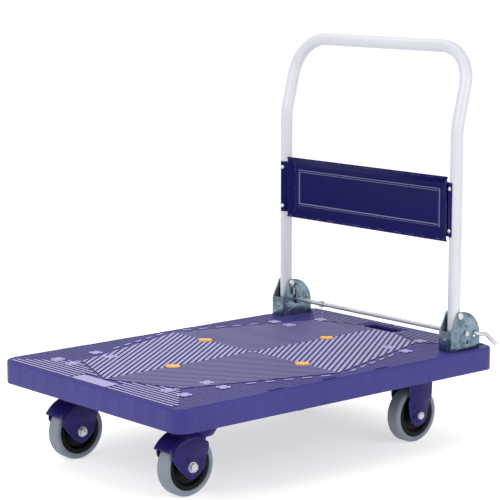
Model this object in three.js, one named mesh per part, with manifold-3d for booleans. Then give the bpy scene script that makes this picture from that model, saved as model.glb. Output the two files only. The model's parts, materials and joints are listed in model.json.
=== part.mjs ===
// Folding platform cart: moulded deck, fold-down tube handle, two swivel and two fixed casters.
// Millimetres. +Z is up, +X runs along the deck towards the handle, z = 0 is the floor.
import * as THREE from 'three';
import { mergeVertices } from 'three/addons/utils/BufferGeometryUtils.js';
import Module from 'manifold-3d';

const wasm = await Module();
wasm.setup();

// ---------- driving dimensions ----------
const GAP = 0.3;                  // clearance between two pieces that touch
const OVER = 10;                  // how far a cutting solid stands past what it cuts
const deckLength = 900;
const deckWidth = 610;
const deckWall = 4;
const deckSkirt = 50;             // height of the turned-down side
const deckCornerR = 30;           // corner seen from above
const deckEdgeR = 5;              // rounding between top and skirt
const deckBead = 7;               // thickened foot of the skirt

const padRadius = 17;
const padHeight = 2.5;
const padOffsetX = deckLength * 0.2467;
const padOffsetY = deckWidth * 0.264;

const gripHoleWidth = 36;         // hand hole, along the deck
const gripHoleLength = 104;       // hand hole, across the deck
const gripHoleInset = 50;         // from the handle end to the middle of the hole

const beamWidth = 130;            // cross beam that carries a pair of casters
const beamSheet = 3;
const beamEndRoom = 4;            // from the beam's end to the foot of the skirt
const spineWidth = 70;            // lengthwise stiffener between the beams
const spineLift = 12;             // the spine's foot above the skirt's foot

const casterX = deckLength / 2 - 144;      // caster centres from the deck centre
const casterY = deckWidth / 2 - 118;
const wheelRadius = 62.5;
const wheelWidth = 34;
const tyreShoulderR = 8.5;
const tyreInnerR = wheelRadius - 13.5;
const tyreFlangeInset = 2;        // the tyre's seat on the hub is this much narrower on each side
const hubBossR = 17;
const hubRimThick = 8;
const hubWebHalf = 6;
const hubLength = 40;
const axleRadius = 5;
const sleeveRadius = 7;
const axleHexR = 9.5;             // corner radius of bolt head and nut
const axleHexThick = 7;
const casterTrail = 36;           // swivel axis to axle
const casterPlateLength = 116;
const casterPlateWidth = 96;
const casterPlateThick = 4;
const casterPlateCornerR = 10;
const casterHeadroom = 39;        // top of the wheel to the foot of the skirt
const raceRadius = 37;
const raceHeight = 13;
const kingpinRadius = 8;
const kingpinHeadR = 13;
const kingpinHeadThick = 6;
const forkSheet = 3.5;
const forkTopHalf = 33;           // half width of a swivel fork at its crown
const rigidTopHalf = 29.5;        // half width of a fixed fork at its plate
const forkFootR = 28;             // rounded end of a fork leg round the axle
const forkWaistLow = wheelRadius * 0.336;  // a fork leg is drawn in between these two heights above the axle
const forkWaistHigh = wheelRadius * 0.64;
const hoodReach = wheelRadius * 0.928;     // lower edge of the hood, ahead of the axle
const hoodRise = wheelRadius * 0.688;      // and above it
const cupDepth = 27;              // conical cup under the swivel race
const cupShoulder = 17;
const cupDraft = 7;               // the cup's foot is this much smaller in radius
const wheelRoomHigh = 6;          // clear of the tyre inside the cup, outward and on each side
const wheelRoomWide = 4;
const legFlare = 3;               // a fixed leg is this much wider at its top
const legTopHalf = 36;

const tubeRadius = 14;
const tubeWall = 2;
const legX = deckLength / 2 - 104.5;       // handle legs
const legY = deckWidth / 2 - 31;
const pivotHeight = 79;           // handle pivot above the deck
const pivotRadius = 5;
const pivotHeadR = 7.5;
const pivotHeadThick = 3;
const tailHeight = 41;            // lower end of the handle tube above the deck
const kinkHeight = 487;           // above the deck
const kinkAngle = THREE.MathUtils.degToRad(14.3);
const kinkR = 120;
const handleTop = 660.5;          // middle of the top bar above the deck
const handleCornerR = 86;

const bracketFront = legX - 27.5;
const bracketRear = legX + 64.5;
const bracketSheet = 3;
const bracketInside = tubeRadius + 1;      // half of the clear width between the plates
const bracketArcR = 58.5;
const bracketShoulder = 44;       // height where the front edge starts to lean
const bracketLobeR = 8;           // plate corner round the handle pivot
const bracketLobeEnd = THREE.MathUtils.degToRad(155);
const webHeight = 46;
const sightHoleR = 3.5;
const sightHoleHeight = 54;
const toolHole = { from: -2, to: 6, low: 13.5, high: 22.5 };    // along from the rod, and above the deck
const bracketBoltR = 5;
const bracketBoltHeadR = 9;
const bracketBoltHeadThick = 6;
const bracketBoltInsets = [17, 16];        // from the bracket's front and rear ends
const bracketBoltReach = 14;      // length below the deck's top

const rodRadius = 5;
const rodX = legX + tubeRadius + 8;
const rodOverhang = 3;            // beyond the brackets' outer plates
const rodHeight = 36.5;           // above the deck
const rodTravel = THREE.MathUtils.degToRad(8);    // the slots are cut for this much turn
const slotRoom = 0.6;             // clearance round what moves in a slot
const pedalRadius = 4.5;
const pedalArmLength = 27.5;      // rod to pedal bar
const pedalArmDrop = 1.5;
const pedalKnee = [58.5, -7.5];   // from the rod, along and up
const pedalTip = [88.5, -33];

const leverThick = 4;
const leverPinX = rodX - 5.5;
const leverPinHeight = 68;
const leverPinR = 4;
const leverEyeR = 10;
const springRadius = 3.2;
const springX = rodX - 16;
const springLow = 49;
const springHigh = 68;
const returnSpringY = legY - 102; // torsion spring on the release rod
const returnSpringR = 8;
const returnSpringLength = 14;

const panelLow = 242;             // above the deck
const panelHigh = 381;
const panelSheet = 2;
const panelDepth = 9;             // how far the rim stands in front of the face
const panelBevel = 15;            // height of the slanted strip along top and bottom
const panelTabHeight = 119;
const panelRivetPitch = 92;
const panelRivetR = 4;
const panelSetback = 1.5;         // the recessed face lies this far ahead of the legs' middle
const panelEndRoom = 3;           // from the pan's end to the leg
const tabRoot = 25;               // a tab starts this far inside the pan's end
const tabStart = -50;             // angles round the leg, from its front, in degrees
const tabEnd = 8;
const tabSteps = 4;

// ---------- derived places ----------
const skirtFoot = 2 * wheelRadius + casterHeadroom;      // floor to the foot of the skirt
const deckTop = skirtFoot + deckSkirt;
const plateTop = skirtFoot - GAP;
const plateFoot = plateTop - casterPlateThick;
const raceFoot = plateFoot - GAP - raceHeight;
const crownTop = raceFoot - GAP;
const axleZ = wheelRadius;
const legInside = hubLength / 2 + 0.5;         // clear half width of a fork at the axle
const legOutside = legInside + forkSheet;
const pivotZ = deckTop + pivotHeight;
const rodZ = deckTop + rodHeight;
const bracketFoot = deckTop + GAP;
const plateOutside = bracketInside + bracketSheet;

const materials = {
  deck: new THREE.MeshStandardMaterial({ color: 0x4a449a, roughness: 0.5, metalness: 0 }),
  navy: new THREE.MeshStandardMaterial({ color: 0x1d1c62, roughness: 0.4, metalness: 0.3 }),
  zinc: new THREE.MeshStandardMaterial({ color: 0x6f8494, roughness: 0.35, metalness: 0.9 }),
  bright: new THREE.MeshStandardMaterial({ color: 0xd8dadd, roughness: 0.25, metalness: 1 }),
  tube: new THREE.MeshStandardMaterial({ color: 0xd9dce4, roughness: 0.35, metalness: 0.2 }),
  pad: new THREE.MeshStandardMaterial({ color: 0xeda63c, roughness: 0.7, metalness: 0 }),
  tyre: new THREE.MeshStandardMaterial({ color: 0x7d8794, roughness: 0.8, metalness: 0 }),
  hub: new THREE.MeshStandardMaterial({ color: 0x121214, roughness: 0.6, metalness: 0 }),
};

// ---------- solids ----------
function toSolid(geometry) {
  const bare = geometry.clone();
  bare.deleteAttribute('normal');
  bare.deleteAttribute('uv');
  const merged = mergeVertices(bare, 1e-3);
  const index = merged.index.array;
  const tris = [];
  for (let i = 0; i < index.length; i += 3) {
    const [a, b, c] = [index[i], index[i + 1], index[i + 2]];
    if (a !== b && b !== c && c !== a) tris.push(a, b, c);
  }
  return new wasm.Manifold(new wasm.Mesh({
    numProp: 3,
    vertProperties: new Float32Array(merged.attributes.position.array),
    triVerts: new Uint32Array(tris),
  }));
}

function toGeometry(solid) {
  const mesh = solid.getMesh();
  const geometry = new THREE.BufferGeometry();
  geometry.setAttribute('position', new THREE.BufferAttribute(new Float32Array(mesh.vertProperties), 3));
  geometry.setIndex(new THREE.BufferAttribute(new Uint32Array(mesh.triVerts), 1));
  geometry.computeVertexNormals();
  return geometry;
}

const join = (first, ...rest) => rest.reduce((sum, next) => sum.add(next), first);
const cut = (first, ...rest) => rest.reduce((sum, next) => sum.subtract(next), first);

function box([x0, x1], [y0, y1], [z0, z1]) {
  const geometry = new THREE.BoxGeometry(x1 - x0, y1 - y0, z1 - z0);
  return toSolid(geometry.translate((x0 + x1) / 2, (y0 + y1) / 2, (z0 + z1) / 2));
}

// A flat shape drawn in two axes and given a thickness along the third.
const sweeps = {
  x: new THREE.Matrix4().makeBasis(new THREE.Vector3(0, 1, 0), new THREE.Vector3(0, 0, 1),
    new THREE.Vector3(1, 0, 0)),
  y: new THREE.Matrix4().makeBasis(new THREE.Vector3(1, 0, 0), new THREE.Vector3(0, 0, 1),
    new THREE.Vector3(0, -1, 0)),
  z: new THREE.Matrix4(),
};

function prism(axis, shape, from, to, arcSteps = 6) {
  const geometry = new THREE.ExtrudeGeometry(shape,
    { depth: to - from, bevelEnabled: false, curveSegments: arcSteps });
  geometry.applyMatrix4(sweeps[axis]);
  const start = { x: [from, 0, 0], y: [0, to, 0], z: [0, 0, from] }[axis];
  return toSolid(geometry.translate(...start));
}

// A round bar between two values on one axis; at = its centre in the other two axes, in X, Y, Z order.
function bar(axis, radius, at, from, to, sides = 16) {
  const shape = new THREE.Shape();
  for (let i = 0; i < sides; i += 1) {
    const angle = (2 * Math.PI * (i + 0.5)) / sides;
    const point = [at[0] + radius * Math.cos(angle), at[1] + radius * Math.sin(angle)];
    if (i === 0) shape.moveTo(...point);
    else shape.lineTo(...point);
  }
  return prism(axis, shape, from, to);
}

// A ring or disc turned about an upright axis or about the Y axis, from [radius, along] points.
function turned(axis, profile, centre, sides = 24) {
  const geometry = new THREE.LatheGeometry(profile.map((p) => new THREE.Vector2(...p)), sides);
  if (axis === 'z') geometry.rotateX(Math.PI / 2);
  return toSolid(geometry.translate(...centre));
}

const ringProfile = (inner, outer, low, high) =>
  [[inner, low], [outer, low], [outer, high], [inner, high], [inner, low]];

function polygon(points) {
  const shape = new THREE.Shape();
  points.forEach((p, i) => (i === 0 ? shape.moveTo(...p) : shape.lineTo(...p)));
  return shape;
}

function roundedRectangle(length, width, radius) {
  const [a, b] = [length / 2, width / 2];
  const shape = new THREE.Shape();
  shape.moveTo(a, b - radius);
  shape.absarc(a - radius, b - radius, radius, 0, Math.PI / 2);
  shape.absarc(-a + radius, b - radius, radius, Math.PI / 2, Math.PI);
  shape.absarc(-a + radius, -b + radius, radius, Math.PI, 1.5 * Math.PI);
  shape.absarc(a - radius, -b + radius, radius, 1.5 * Math.PI, 2 * Math.PI);
  return shape;
}

// The section of a bent sheet: a centre line with mitred corners and a thickness.
function sheetSection(points, thickness) {
  const line = points.map((p) => new THREE.Vector2(...p));
  const sides = [[], []];
  line.forEach((point, i) => {
    const before = line[Math.max(i - 1, 0)];
    const after = line[Math.min(i + 1, line.length - 1)];
    const into = (i === 0 ? after.clone().sub(point) : point.clone().sub(before)).normalize();
    const out = (i === line.length - 1 ? into.clone() : after.clone().sub(point)).normalize();
    const mitre = new THREE.Vector2(-into.y - out.y, into.x + out.x).normalize();
    const reach = thickness / 2 / mitre.dot(new THREE.Vector2(-into.y, into.x));
    sides[0].push([point.x + mitre.x * reach, point.y + mitre.y * reach]);
    sides[1].unshift([point.x - mitre.x * reach, point.y - mitre.y * reach]);
  });
  return polygon([...sides[0], ...sides[1]]);
}

// A centre line with rounded corners, given only at the stations where it bends.
class BentLine extends THREE.Curve {
  constructor(corners, radii, stepsPerBend) {
    super();
    this.stations = [corners[0]];
    for (let i = 1; i < corners.length - 1; i += 1) {
      const into = corners[i].clone().sub(corners[i - 1]).normalize();
      const out = corners[i + 1].clone().sub(corners[i]).normalize();
      const turn = into.angleTo(out);
      const centreSide = out.clone().sub(into).normalize();
      const centre = corners[i].clone().addScaledVector(centreSide, radii[i - 1] / Math.cos(turn / 2));
      for (let k = 0; k <= stepsPerBend; k += 1) {
        const angle = (k / stepsPerBend - 0.5) * turn;
        const along = into.clone().add(out).normalize();
        this.stations.push(centre.clone()
          .addScaledVector(centreSide, -radii[i - 1] * Math.cos(angle))
          .addScaledVector(along, radii[i - 1] * Math.sin(angle)));
      }
    }
    this.stations.push(corners[corners.length - 1]);
  }

  getPointAt(u) {
    return this.stations[Math.round(u * (this.stations.length - 1))].clone();
  }

  getTangentAt(u) {
    const i = Math.round(u * (this.stations.length - 1));
    const before = this.stations[Math.max(i - 1, 0)];
    const after = this.stations[Math.min(i + 1, this.stations.length - 1)];
    return after.clone().sub(before).normalize();
  }
}

function bentBar(corners, radii, stepsPerBend, section) {
  const path = new BentLine(corners.map((c) => new THREE.Vector3(...c)), radii, stepsPerBend);
  return toSolid(new THREE.ExtrudeGeometry(section,
    { steps: path.stations.length - 1, extrudePath: path, bevelEnabled: false, curveSegments: 4 }));
}

function circleSection(radius, boreRadius = 0) {
  const shape = new THREE.Shape().absarc(0, 0, radius, 0, 2 * Math.PI);
  if (boreRadius > 0) shape.holes.push(new THREE.Path().absarc(0, 0, boreRadius, 0, 2 * Math.PI, true));
  return shape;
}

const cart = new THREE.Group();

function addPiece(name, solid, material, x = 0, y = 0, parent = cart) {
  const mesh = new THREE.Mesh(toGeometry(solid), material);
  mesh.name = name;
  mesh.position.set(x, y, 0);
  parent.add(mesh);
}

// ---------- deck ----------
const gripHoleX = deckLength / 2 - gripHoleInset;
const bracketBoltX = [bracketFront + bracketBoltInsets[0], bracketRear - bracketBoltInsets[1]];

function deck() {
  const bevel = { bevelEnabled: true, bevelThickness: deckEdgeR, bevelSize: deckEdgeR, bevelSegments: 2 };
  const inner = roundedRectangle(deckLength - 2 * deckEdgeR, deckWidth - 2 * deckEdgeR,
    deckCornerR - deckEdgeR);
  const block = new THREE.ExtrudeGeometry(inner, { depth: deckSkirt, curveSegments: 5, ...bevel });
  const outside = toSolid(block.translate(0, 0, deckTop - deckEdgeR - deckSkirt));
  const below = box([-deckLength, deckLength], [-deckWidth, deckWidth], [0, skirtFoot]);
  const hollowAt = (inset, from, to) => prism('z', roundedRectangle(deckLength - 2 * inset,
    deckWidth - 2 * inset, deckCornerR - inset), from, to);
  const ceiling = deckTop - deckWall;
  const hollow = hollowAt(deckWall, skirtFoot + deckWall, ceiling - deckEdgeR);
  const hollowTop = hollowAt(deckWall + deckEdgeR / 2, ceiling - deckEdgeR - 1, ceiling);
  const mouth = hollowAt(deckBead, skirtFoot - deckWall, ceiling - deckEdgeR);
  const grip = prism('z', roundedRectangle(gripHoleWidth, gripHoleLength, gripHoleWidth / 3),
    deckTop - deckWall - OVER, deckTop + OVER).translate([gripHoleX, 0, 0]);
  const bolts = [];
  for (const side of [-1, 1]) {
    for (const x of bracketBoltX) {
      bolts.push(bar('z', bracketBoltR + GAP, [x, side * legY], deckTop - deckWall - OVER,
        deckTop + OVER, 12));
    }
  }
  return cut(outside, below, hollow, hollowTop, mouth, grip, ...bolts);
}
addPiece('deck', deck(), materials.deck);

const beamTop = deckTop - deckWall - GAP;
const beamHalfLength = deckWidth / 2 - deckBead - beamEndRoom;

function beam() {
  const [low, half] = [skirtFoot + beamSheet / 2, beamWidth / 2 - beamSheet / 2];
  const section = sheetSection([[-half, beamTop], [-half, low], [half, low], [half, beamTop]], beamSheet);
  return prism('y', section, -beamHalfLength, beamHalfLength);
}
addPiece('caster_beam_front', beam(), materials.navy, -casterX);
addPiece('caster_beam_rear', beam(), materials.navy, casterX);

function spine() {
  const [low, half] = [skirtFoot + spineLift + beamSheet / 2, spineWidth / 2 - beamSheet / 2];
  const section = sheetSection([[-half, beamTop], [-half, low], [half, low], [half, beamTop]], beamSheet);
  const reach = casterX - beamWidth / 2 - 1;
  return prism('x', section, -reach, reach);
}
addPiece('deck_spine', spine(), materials.navy);

function pad() {
  const shoulder = padRadius - padHeight;
  return turned('z', [[0, 0], [padRadius, 0], [padRadius, 0.8], [shoulder, padHeight], [0, padHeight]],
    [0, 0, 0], 20);
}
const padPlaces = [[-padOffsetX, 0], [padOffsetX, 0], [0, -padOffsetY], [0, padOffsetY]];
padPlaces.forEach(([x, y], i) => {
  addPiece(`deck_pad_${i + 1}`, pad().translate([0, 0, deckTop + GAP]), materials.pad, x, y);
});

// ---------- handle brackets ----------
function bracketOutline() {
  const arcX = bracketRear - bracketArcR;
  const arcZ = pivotZ + bracketLobeR - bracketArcR;
  const shape = new THREE.Shape();
  shape.moveTo(bracketFront, bracketFoot);
  shape.lineTo(bracketRear, bracketFoot);
  shape.absarc(arcX, arcZ, bracketArcR, 0, Math.PI / 2);
  shape.absarc(legX, pivotZ, bracketLobeR, Math.PI / 2, bracketLobeEnd);
  shape.lineTo(bracketFront, deckTop + bracketShoulder);
  return shape;
}

// A slot for a pin that starts dx along and dz above the release rod and turns with it.
function turningSlot(dx, dz, radius, span) {
  const places = [0, 0.5, 1].map((t) => t * rodTravel).map((angle) =>
    [rodX + dx * Math.cos(angle) + dz * Math.sin(angle),
      rodZ - dx * Math.sin(angle) + dz * Math.cos(angle)]);
  return join(...places.map((place) => bar('y', radius + slotRoom, place, ...span)));
}

// side = -1 for the left bracket (at -Y), +1 for the right one.
function bracket(side) {
  const plates = cut(prism('y', bracketOutline(), -plateOutside, plateOutside, 10),
    box([bracketFront - OVER, bracketRear + OVER], [-bracketInside, bracketInside],
      [bracketFoot - OVER, pivotZ + bracketLobeR + OVER]));
  const web = box([bracketFront, bracketFront + bracketSheet], [-bracketInside - 1, bracketInside + 1],
    [bracketFoot, deckTop + webHeight]);
  const lip = box([bracketFront + 1, legX - tubeRadius - GAP], [-bracketInside - 1, bracketInside + 1],
    [deckTop + webHeight - bracketSheet, deckTop + webHeight]);
  const floor = box([bracketFront + 1, bracketRear], [-bracketInside - 1, bracketInside + 1],
    [bracketFoot, bracketFoot + bracketSheet]);
  const through = plateOutside + OVER;
  const pivot = bar('y', pivotRadius + GAP, [legX, pivotZ], -through, through);
  const rod = bar('y', rodRadius + GAP, [rodX, rodZ], -through, through);
  const innerFace = [-side * (bracketInside - 2), -side * through].sort((a, b) => a - b);
  const pinSlot = turningSlot(leverPinX - rodX, leverPinHeight - rodHeight, leverPinR, innerFace);
  const outerFace = [side * (bracketInside - 2), side * through].sort((a, b) => a - b);
  const sightHole = bar('y', sightHoleR, [rodX - sightHoleR, deckTop + sightHoleHeight], ...outerFace, 10);
  const squareHole = box([rodX + toolHole.from, rodX + toolHole.to], outerFace,
    [deckTop + toolHole.low, deckTop + toolHole.high]);
  const pedalSlot = turningSlot(pedalArmLength, -pedalArmDrop, pedalRadius, outerFace);
  const boltHoles = bracketBoltX.map((x) =>
    bar('z', bracketBoltR + GAP, [x, 0], bracketFoot - OVER, bracketFoot + OVER, 12));
  const shell = cut(join(plates, web, lip, floor), pivot, rod, pinSlot, sightHole, squareHole, ...boltHoles);
  return side < 0 ? cut(shell, pedalSlot) : shell;
}

function bracketBolt() {
  const headFoot = bracketFoot + bracketSheet + GAP;
  const head = bar('z', bracketBoltHeadR, [0, 0], headFoot, headFoot + bracketBoltHeadThick, 6);
  return join(head, bar('z', bracketBoltR, [0, 0], deckTop - bracketBoltReach, headFoot + 1, 12));
}

function pivotRivet() {
  const face = plateOutside + GAP;
  const shank = bar('y', pivotRadius, [0, 0], -face - 1, face + 1);
  const heads = [[-face - pivotHeadThick, -face], [face, face + pivotHeadThick]];
  return join(shank, ...heads.map((span) => bar('y', pivotHeadR, [0, 0], ...span)));
}

// The lever stands against the inner plate, on the side that faces the middle of the cart.
function lockLever(side) {
  const near = plateOutside + GAP;
  const span = [-side * near, -side * (near + leverThick)].sort((a, b) => a - b);
  const pinSpan = [-side * (bracketInside + 0.2), -side * (near + 1)].sort((a, b) => a - b);
  const arm = polygon([[rodX - leverEyeR + 2, rodZ + 5], [rodX + leverEyeR - 2, rodZ + 5],
    [leverPinX + 7, deckTop + leverPinHeight + 2], [leverPinX - 6, deckTop + leverPinHeight + 2]]);
  const body = join(bar('y', leverEyeR, [rodX, rodZ], ...span), prism('y', arm, ...span),
    bar('y', 7, [leverPinX + 0.5, deckTop + leverPinHeight], ...span, 12));
  const pin = bar('y', leverPinR, [leverPinX, deckTop + leverPinHeight], ...pinSpan, 12);
  return cut(join(body, pin), bar('y', rodRadius + GAP, [rodX, rodZ], -near - OVER, near + OVER));
}

for (const [name, side] of [['left', -1], ['right', 1]]) {
  addPiece(`bracket_${name}`, bracket(side), materials.zinc, 0, side * legY);
  bracketBoltX.forEach((x, i) => {
    addPiece(`bracket_bolt_${name}_${i + 1}`, bracketBolt(), materials.bright, x, side * legY);
  });
  addPiece(`handle_pivot_${name}`, pivotRivet().translate([0, 0, pivotZ]), materials.bright,
    legX, side * legY);
  addPiece(`lock_lever_${name}`, lockLever(side), materials.zinc, 0, side * legY);
  const springY = side * (legY - plateOutside - GAP - springRadius);
  addPiece(`lock_spring_${name}`,
    bar('z', springRadius, [springX, springY], deckTop + springLow, deckTop + springHigh, 10),
    materials.bright);
}

// ---------- handle ----------
const topX = legX + (handleTop - kinkHeight) * Math.tan(kinkAngle);

function handleTube() {
  const heights = [tailHeight, kinkHeight, handleTop].map((h) => deckTop + h);
  const corners = [[legX, -legY, heights[0]], [legX, -legY, heights[1]], [topX, -legY, heights[2]],
    [topX, legY, heights[2]], [legX, legY, heights[1]], [legX, legY, heights[0]]];
  const tube = bentBar(corners, [kinkR, handleCornerR, handleCornerR, kinkR], 5,
    circleSection(tubeRadius, tubeRadius - tubeWall));
  const through = legY + 2 * tubeRadius;
  return cut(tube, bar('y', pivotRadius + GAP, [legX, pivotZ], -through, through));
}
addPiece('handle_tube', handleTube(), materials.tube);

// ---------- panel between the legs ----------
const panelFace = legX - panelSetback;                 // x of the recessed face
const panelRim = panelFace - panelDepth;
const panelMiddle = deckTop + (panelLow + panelHigh) / 2;
const saddleR = tubeRadius + GAP + panelSheet / 2;
const rivetAngle = THREE.MathUtils.degToRad(14);       // rivets stand a little inboard of the front

function panel() {
  const [low, high] = [deckTop + panelLow, deckTop + panelHigh];
  const faceSection = sheetSection([[panelRim, low], [panelFace, low + panelBevel],
    [panelFace, high - panelBevel], [panelRim, high]], panelSheet);
  const panHalf = legY - tubeRadius - panelEndRoom;
  const pan = prism('y', faceSection, -panHalf, panHalf);
  const tabs = [-1, 1].map((side) => {
    const points = [[panelFace, side * (panHalf - tabRoot)]];
    for (let i = 0; i <= tabSteps; i += 1) {
      const a = THREE.MathUtils.degToRad(tabStart + ((tabEnd - tabStart) * i) / tabSteps);
      points.push([legX - saddleR * Math.cos(a), side * (legY + saddleR * Math.sin(a))]);
    }
    const section = sheetSection(side > 0 ? points : points.reverse(), panelSheet);
    return prism('z', section, panelMiddle - panelTabHeight / 2, panelMiddle + panelTabHeight / 2);
  });
  const legs = [-1, 1].map((side) =>
    bar('z', tubeRadius + GAP, [legX, side * legY], low - OVER, high + OVER, 24));
  return cut(join(pan, ...tabs), ...legs);
}
addPiece('handle_panel', panel(), materials.navy);

function panelRivet() {
  const base = tubeRadius + GAP + panelSheet + GAP;
  return turned('z', [[0, base], [panelRivetR, base], [panelRivetR * 0.8, base + 1.4],
    [0, base + 2.2]], [0, 0, 0], 12);
}
for (const [name, side] of [['left', -1], ['right', 1]]) {
  for (const [level, up] of [['low', -1], ['high', 1]]) {
    const direction = new THREE.Vector3(-Math.cos(rivetAngle), -side * Math.sin(rivetAngle), 0);
    const mesh = new THREE.Mesh(toGeometry(panelRivet()), materials.bright);
    mesh.name = `panel_rivet_${name}_${level}`;
    mesh.quaternion.setFromUnitVectors(new THREE.Vector3(0, 0, 1), direction);
    mesh.position.set(legX, side * legY, panelMiddle + up * panelRivetPitch / 2);
    cart.add(mesh);
  }
}

// ---------- release rod with its pedal ----------
const rodEnd = legY + plateOutside + rodOverhang;
addPiece('release_rod', bar('y', rodRadius, [rodX, rodZ], -rodEnd, rodEnd, 14), materials.bright);

// The pedal hangs on a short arm inside the left bracket and turns back along the deck's edge.
function pedal() {
  const pedalY = -(legY + plateOutside + GAP + pedalRadius + 1);
  const [armX, armZ] = [rodX + pedalArmLength, rodZ - pedalArmDrop];
  const barLine = [[armX, -legY + 8, armZ], [armX, pedalY, armZ],
    ...[pedalKnee, pedalTip].map(([dx, dz]) => [rodX + dx, pedalY, rodZ + dz])];
  const arm = box([rodX + 1, armX], [-legY - 3, -legY + 3], [armZ - pedalRadius, armZ + pedalRadius]);
  return cut(join(bentBar(barLine, [pedalRadius + 1, 16], 4, circleSection(pedalRadius)), arm),
    bar('y', rodRadius + GAP, [rodX, rodZ], -legY - OVER, -legY + OVER));
}
addPiece('release_pedal', pedal(), materials.bright);

function returnSpring() {
  const half = returnSpringLength / 2;
  const coil = bar('y', returnSpringR, [rodX, rodZ], returnSpringY - half, returnSpringY + half);
  const tail = box([rodX + returnSpringR - 3, rodX + returnSpringR], [returnSpringY, returnSpringY + half],
    [deckTop + GAP, rodZ]);
  return cut(join(coil, tail), bar('y', rodRadius + GAP, [rodX, rodZ], 0, 2 * returnSpringY));
}
addPiece('release_spring', returnSpring(), materials.zinc);

// ---------- wheels ----------
function tyre() {
  const half = wheelWidth / 2;
  const crown = [];
  for (let i = 0; i <= 3; i += 1) {
    const a = (i / 3) * (Math.PI / 2);
    crown.push([wheelRadius - tyreShoulderR * (1 - Math.sin(a)), half - tyreShoulderR * (1 - Math.cos(a))]);
  }
  const mirrored = crown.map(([r, y]) => [r, -y]).reverse();
  const inner = tyreInnerR + GAP;
  const seat = half - tyreFlangeInset;
  return turned('y', [[inner, seat], ...crown, ...mirrored, [inner, -seat], [inner, seat]].reverse(),
    [0, 0, axleZ], 32);
}

function hub() {
  const [bore, boss, rim] = [sleeveRadius + GAP, hubBossR, tyreInnerR - hubRimThick];
  const [end, web, half] = [hubLength / 2, hubWebHalf, wheelWidth / 2 - 1];
  const profile = [[bore, -end], [boss, -end], [boss, -web], [rim, -web], [rim, -half],
    [tyreInnerR, -half], [tyreInnerR, half], [rim, half], [rim, web], [boss, web], [boss, end],
    [bore, end], [bore, -end]];
  return turned('y', profile, [0, 0, axleZ], 24);
}

function axleSleeve() {
  const half = legInside - GAP / 2;
  return turned('y', ringProfile(axleRadius + GAP, sleeveRadius, -half, half), [0, 0, axleZ], 16);
}

function axleBolt() {
  const face = legOutside + GAP;
  const shank = bar('y', axleRadius, [0, axleZ], -face - 1, face + axleHexThick + 3);
  return join(shank, bar('y', axleHexR, [0, axleZ], -face - axleHexThick, -face, 6));
}

function axleNut() {
  const face = legOutside + GAP;
  const hex = bar('y', axleHexR, [0, axleZ], face, face + axleHexThick, 6);
  return cut(hex, bar('y', axleRadius + GAP, [0, axleZ], face - 1, face + axleHexThick + 1));
}

function addWheel(name, x, y) {
  addPiece(`${name}_axle_bolt`, axleBolt(), materials.bright, x, y);
  addPiece(`${name}_axle_nut`, axleNut(), materials.bright, x, y);
  addPiece(`${name}_axle_sleeve`, axleSleeve(), materials.bright, x, y);
  addPiece(`${name}_hub`, hub(), materials.hub, x, y);
  addPiece(`${name}_tyre`, tyre(), materials.tyre, x, y);
}

// The two legs of a fork, seen from its end: wide at the top, drawn in to the axle.
function forkLegs(topHalf, top, reach) {
  const mid = forkSheet / 2;
  const legs = [-1, 1].map((side) => sheetSection([[side * (topHalf - mid), top],
    [side * (topHalf - mid), axleZ + forkWaistHigh], [side * (legInside + mid), axleZ + forkWaistLow],
    [side * (legInside + mid), axleZ - forkFootR - OVER]], forkSheet));
  return join(...legs.map((section) => prism('x', section, ...reach)));
}

const axleHole = (x) => bar('y', axleRadius + GAP, [x, axleZ], -forkTopHalf - OVER, forkTopHalf + OVER);

// ---------- swivel caster ----------
function swivelFork() {
  const axleX = -casterTrail;
  const foot = (degrees) => {
    const a = THREE.MathUtils.degToRad(degrees);
    return [axleX + forkFootR * Math.cos(a), axleZ + forkFootR * Math.sin(a)];
  };
  const crownEdge = -raceRadius + 1;
  const visor = [axleX - hoodReach, axleZ + hoodRise];
  const back = [[0.624, 0.288], [0.704, 0.768], [0.864, 0.96]].map(([along, up]) =>
    [axleX + along * wheelRadius, axleZ + up * wheelRadius]);      // trailing edge, in wheel radii
  const outline = polygon([visor, [visor[0] + 6, visor[1] - 9], foot(205), foot(230), foot(255), foot(280),
    foot(305), foot(330), ...back, [back[2][0], crownTop], [crownEdge, crownTop]]);
  const legs = forkLegs(forkTopHalf, crownTop, [visor[0] - 5, raceRadius])
    .intersect(prism('y', outline, -forkTopHalf - OVER, forkTopHalf + OVER));
  const hood = prism('y', sheetSection([[crownEdge - 1, crownTop - forkSheet / 2], [visor[0] + 1.5, visor[1]]],
    forkSheet), -forkTopHalf, forkTopHalf);
  const cone = turned('z', [[0, -cupDepth], [raceRadius - cupDraft, -cupDepth], [raceRadius, -cupShoulder],
    [raceRadius, 0], [0, 0]], [0, 0, crownTop], 28);
  const half = forkTopHalf - forkSheet;
  const cup = cut(cone, bar('z', raceRadius - cupDraft - forkSheet, [0, 0], crownTop - cupDepth - OVER,
    crownTop - forkSheet, 24)
    .intersect(box([-raceRadius, raceRadius], [-half, half], [0, crownTop])));
  const wheelRoom = bar('y', wheelRadius + wheelRoomHigh, [axleX, axleZ], -wheelWidth / 2 - wheelRoomWide,
    wheelWidth / 2 + wheelRoomWide, 28);
  const pin = bar('z', kingpinRadius + GAP, [0, 0], crownTop - forkSheet - OVER, crownTop + OVER);
  return cut(join(legs, hood, cut(cup, wheelRoom)), pin, axleHole(axleX));
}

const topPlate = () => prism('z', roundedRectangle(casterPlateLength, casterPlateWidth, casterPlateCornerR),
  plateFoot, plateTop);

function casterPlate() {
  return cut(topPlate(), bar('z', kingpinRadius + GAP, [0, 0], plateFoot - OVER, plateTop + OVER));
}

function race() {
  return turned('z', ringProfile(kingpinRadius + 4, raceRadius, 0, raceHeight), [0, 0, raceFoot], 28);
}

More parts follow.
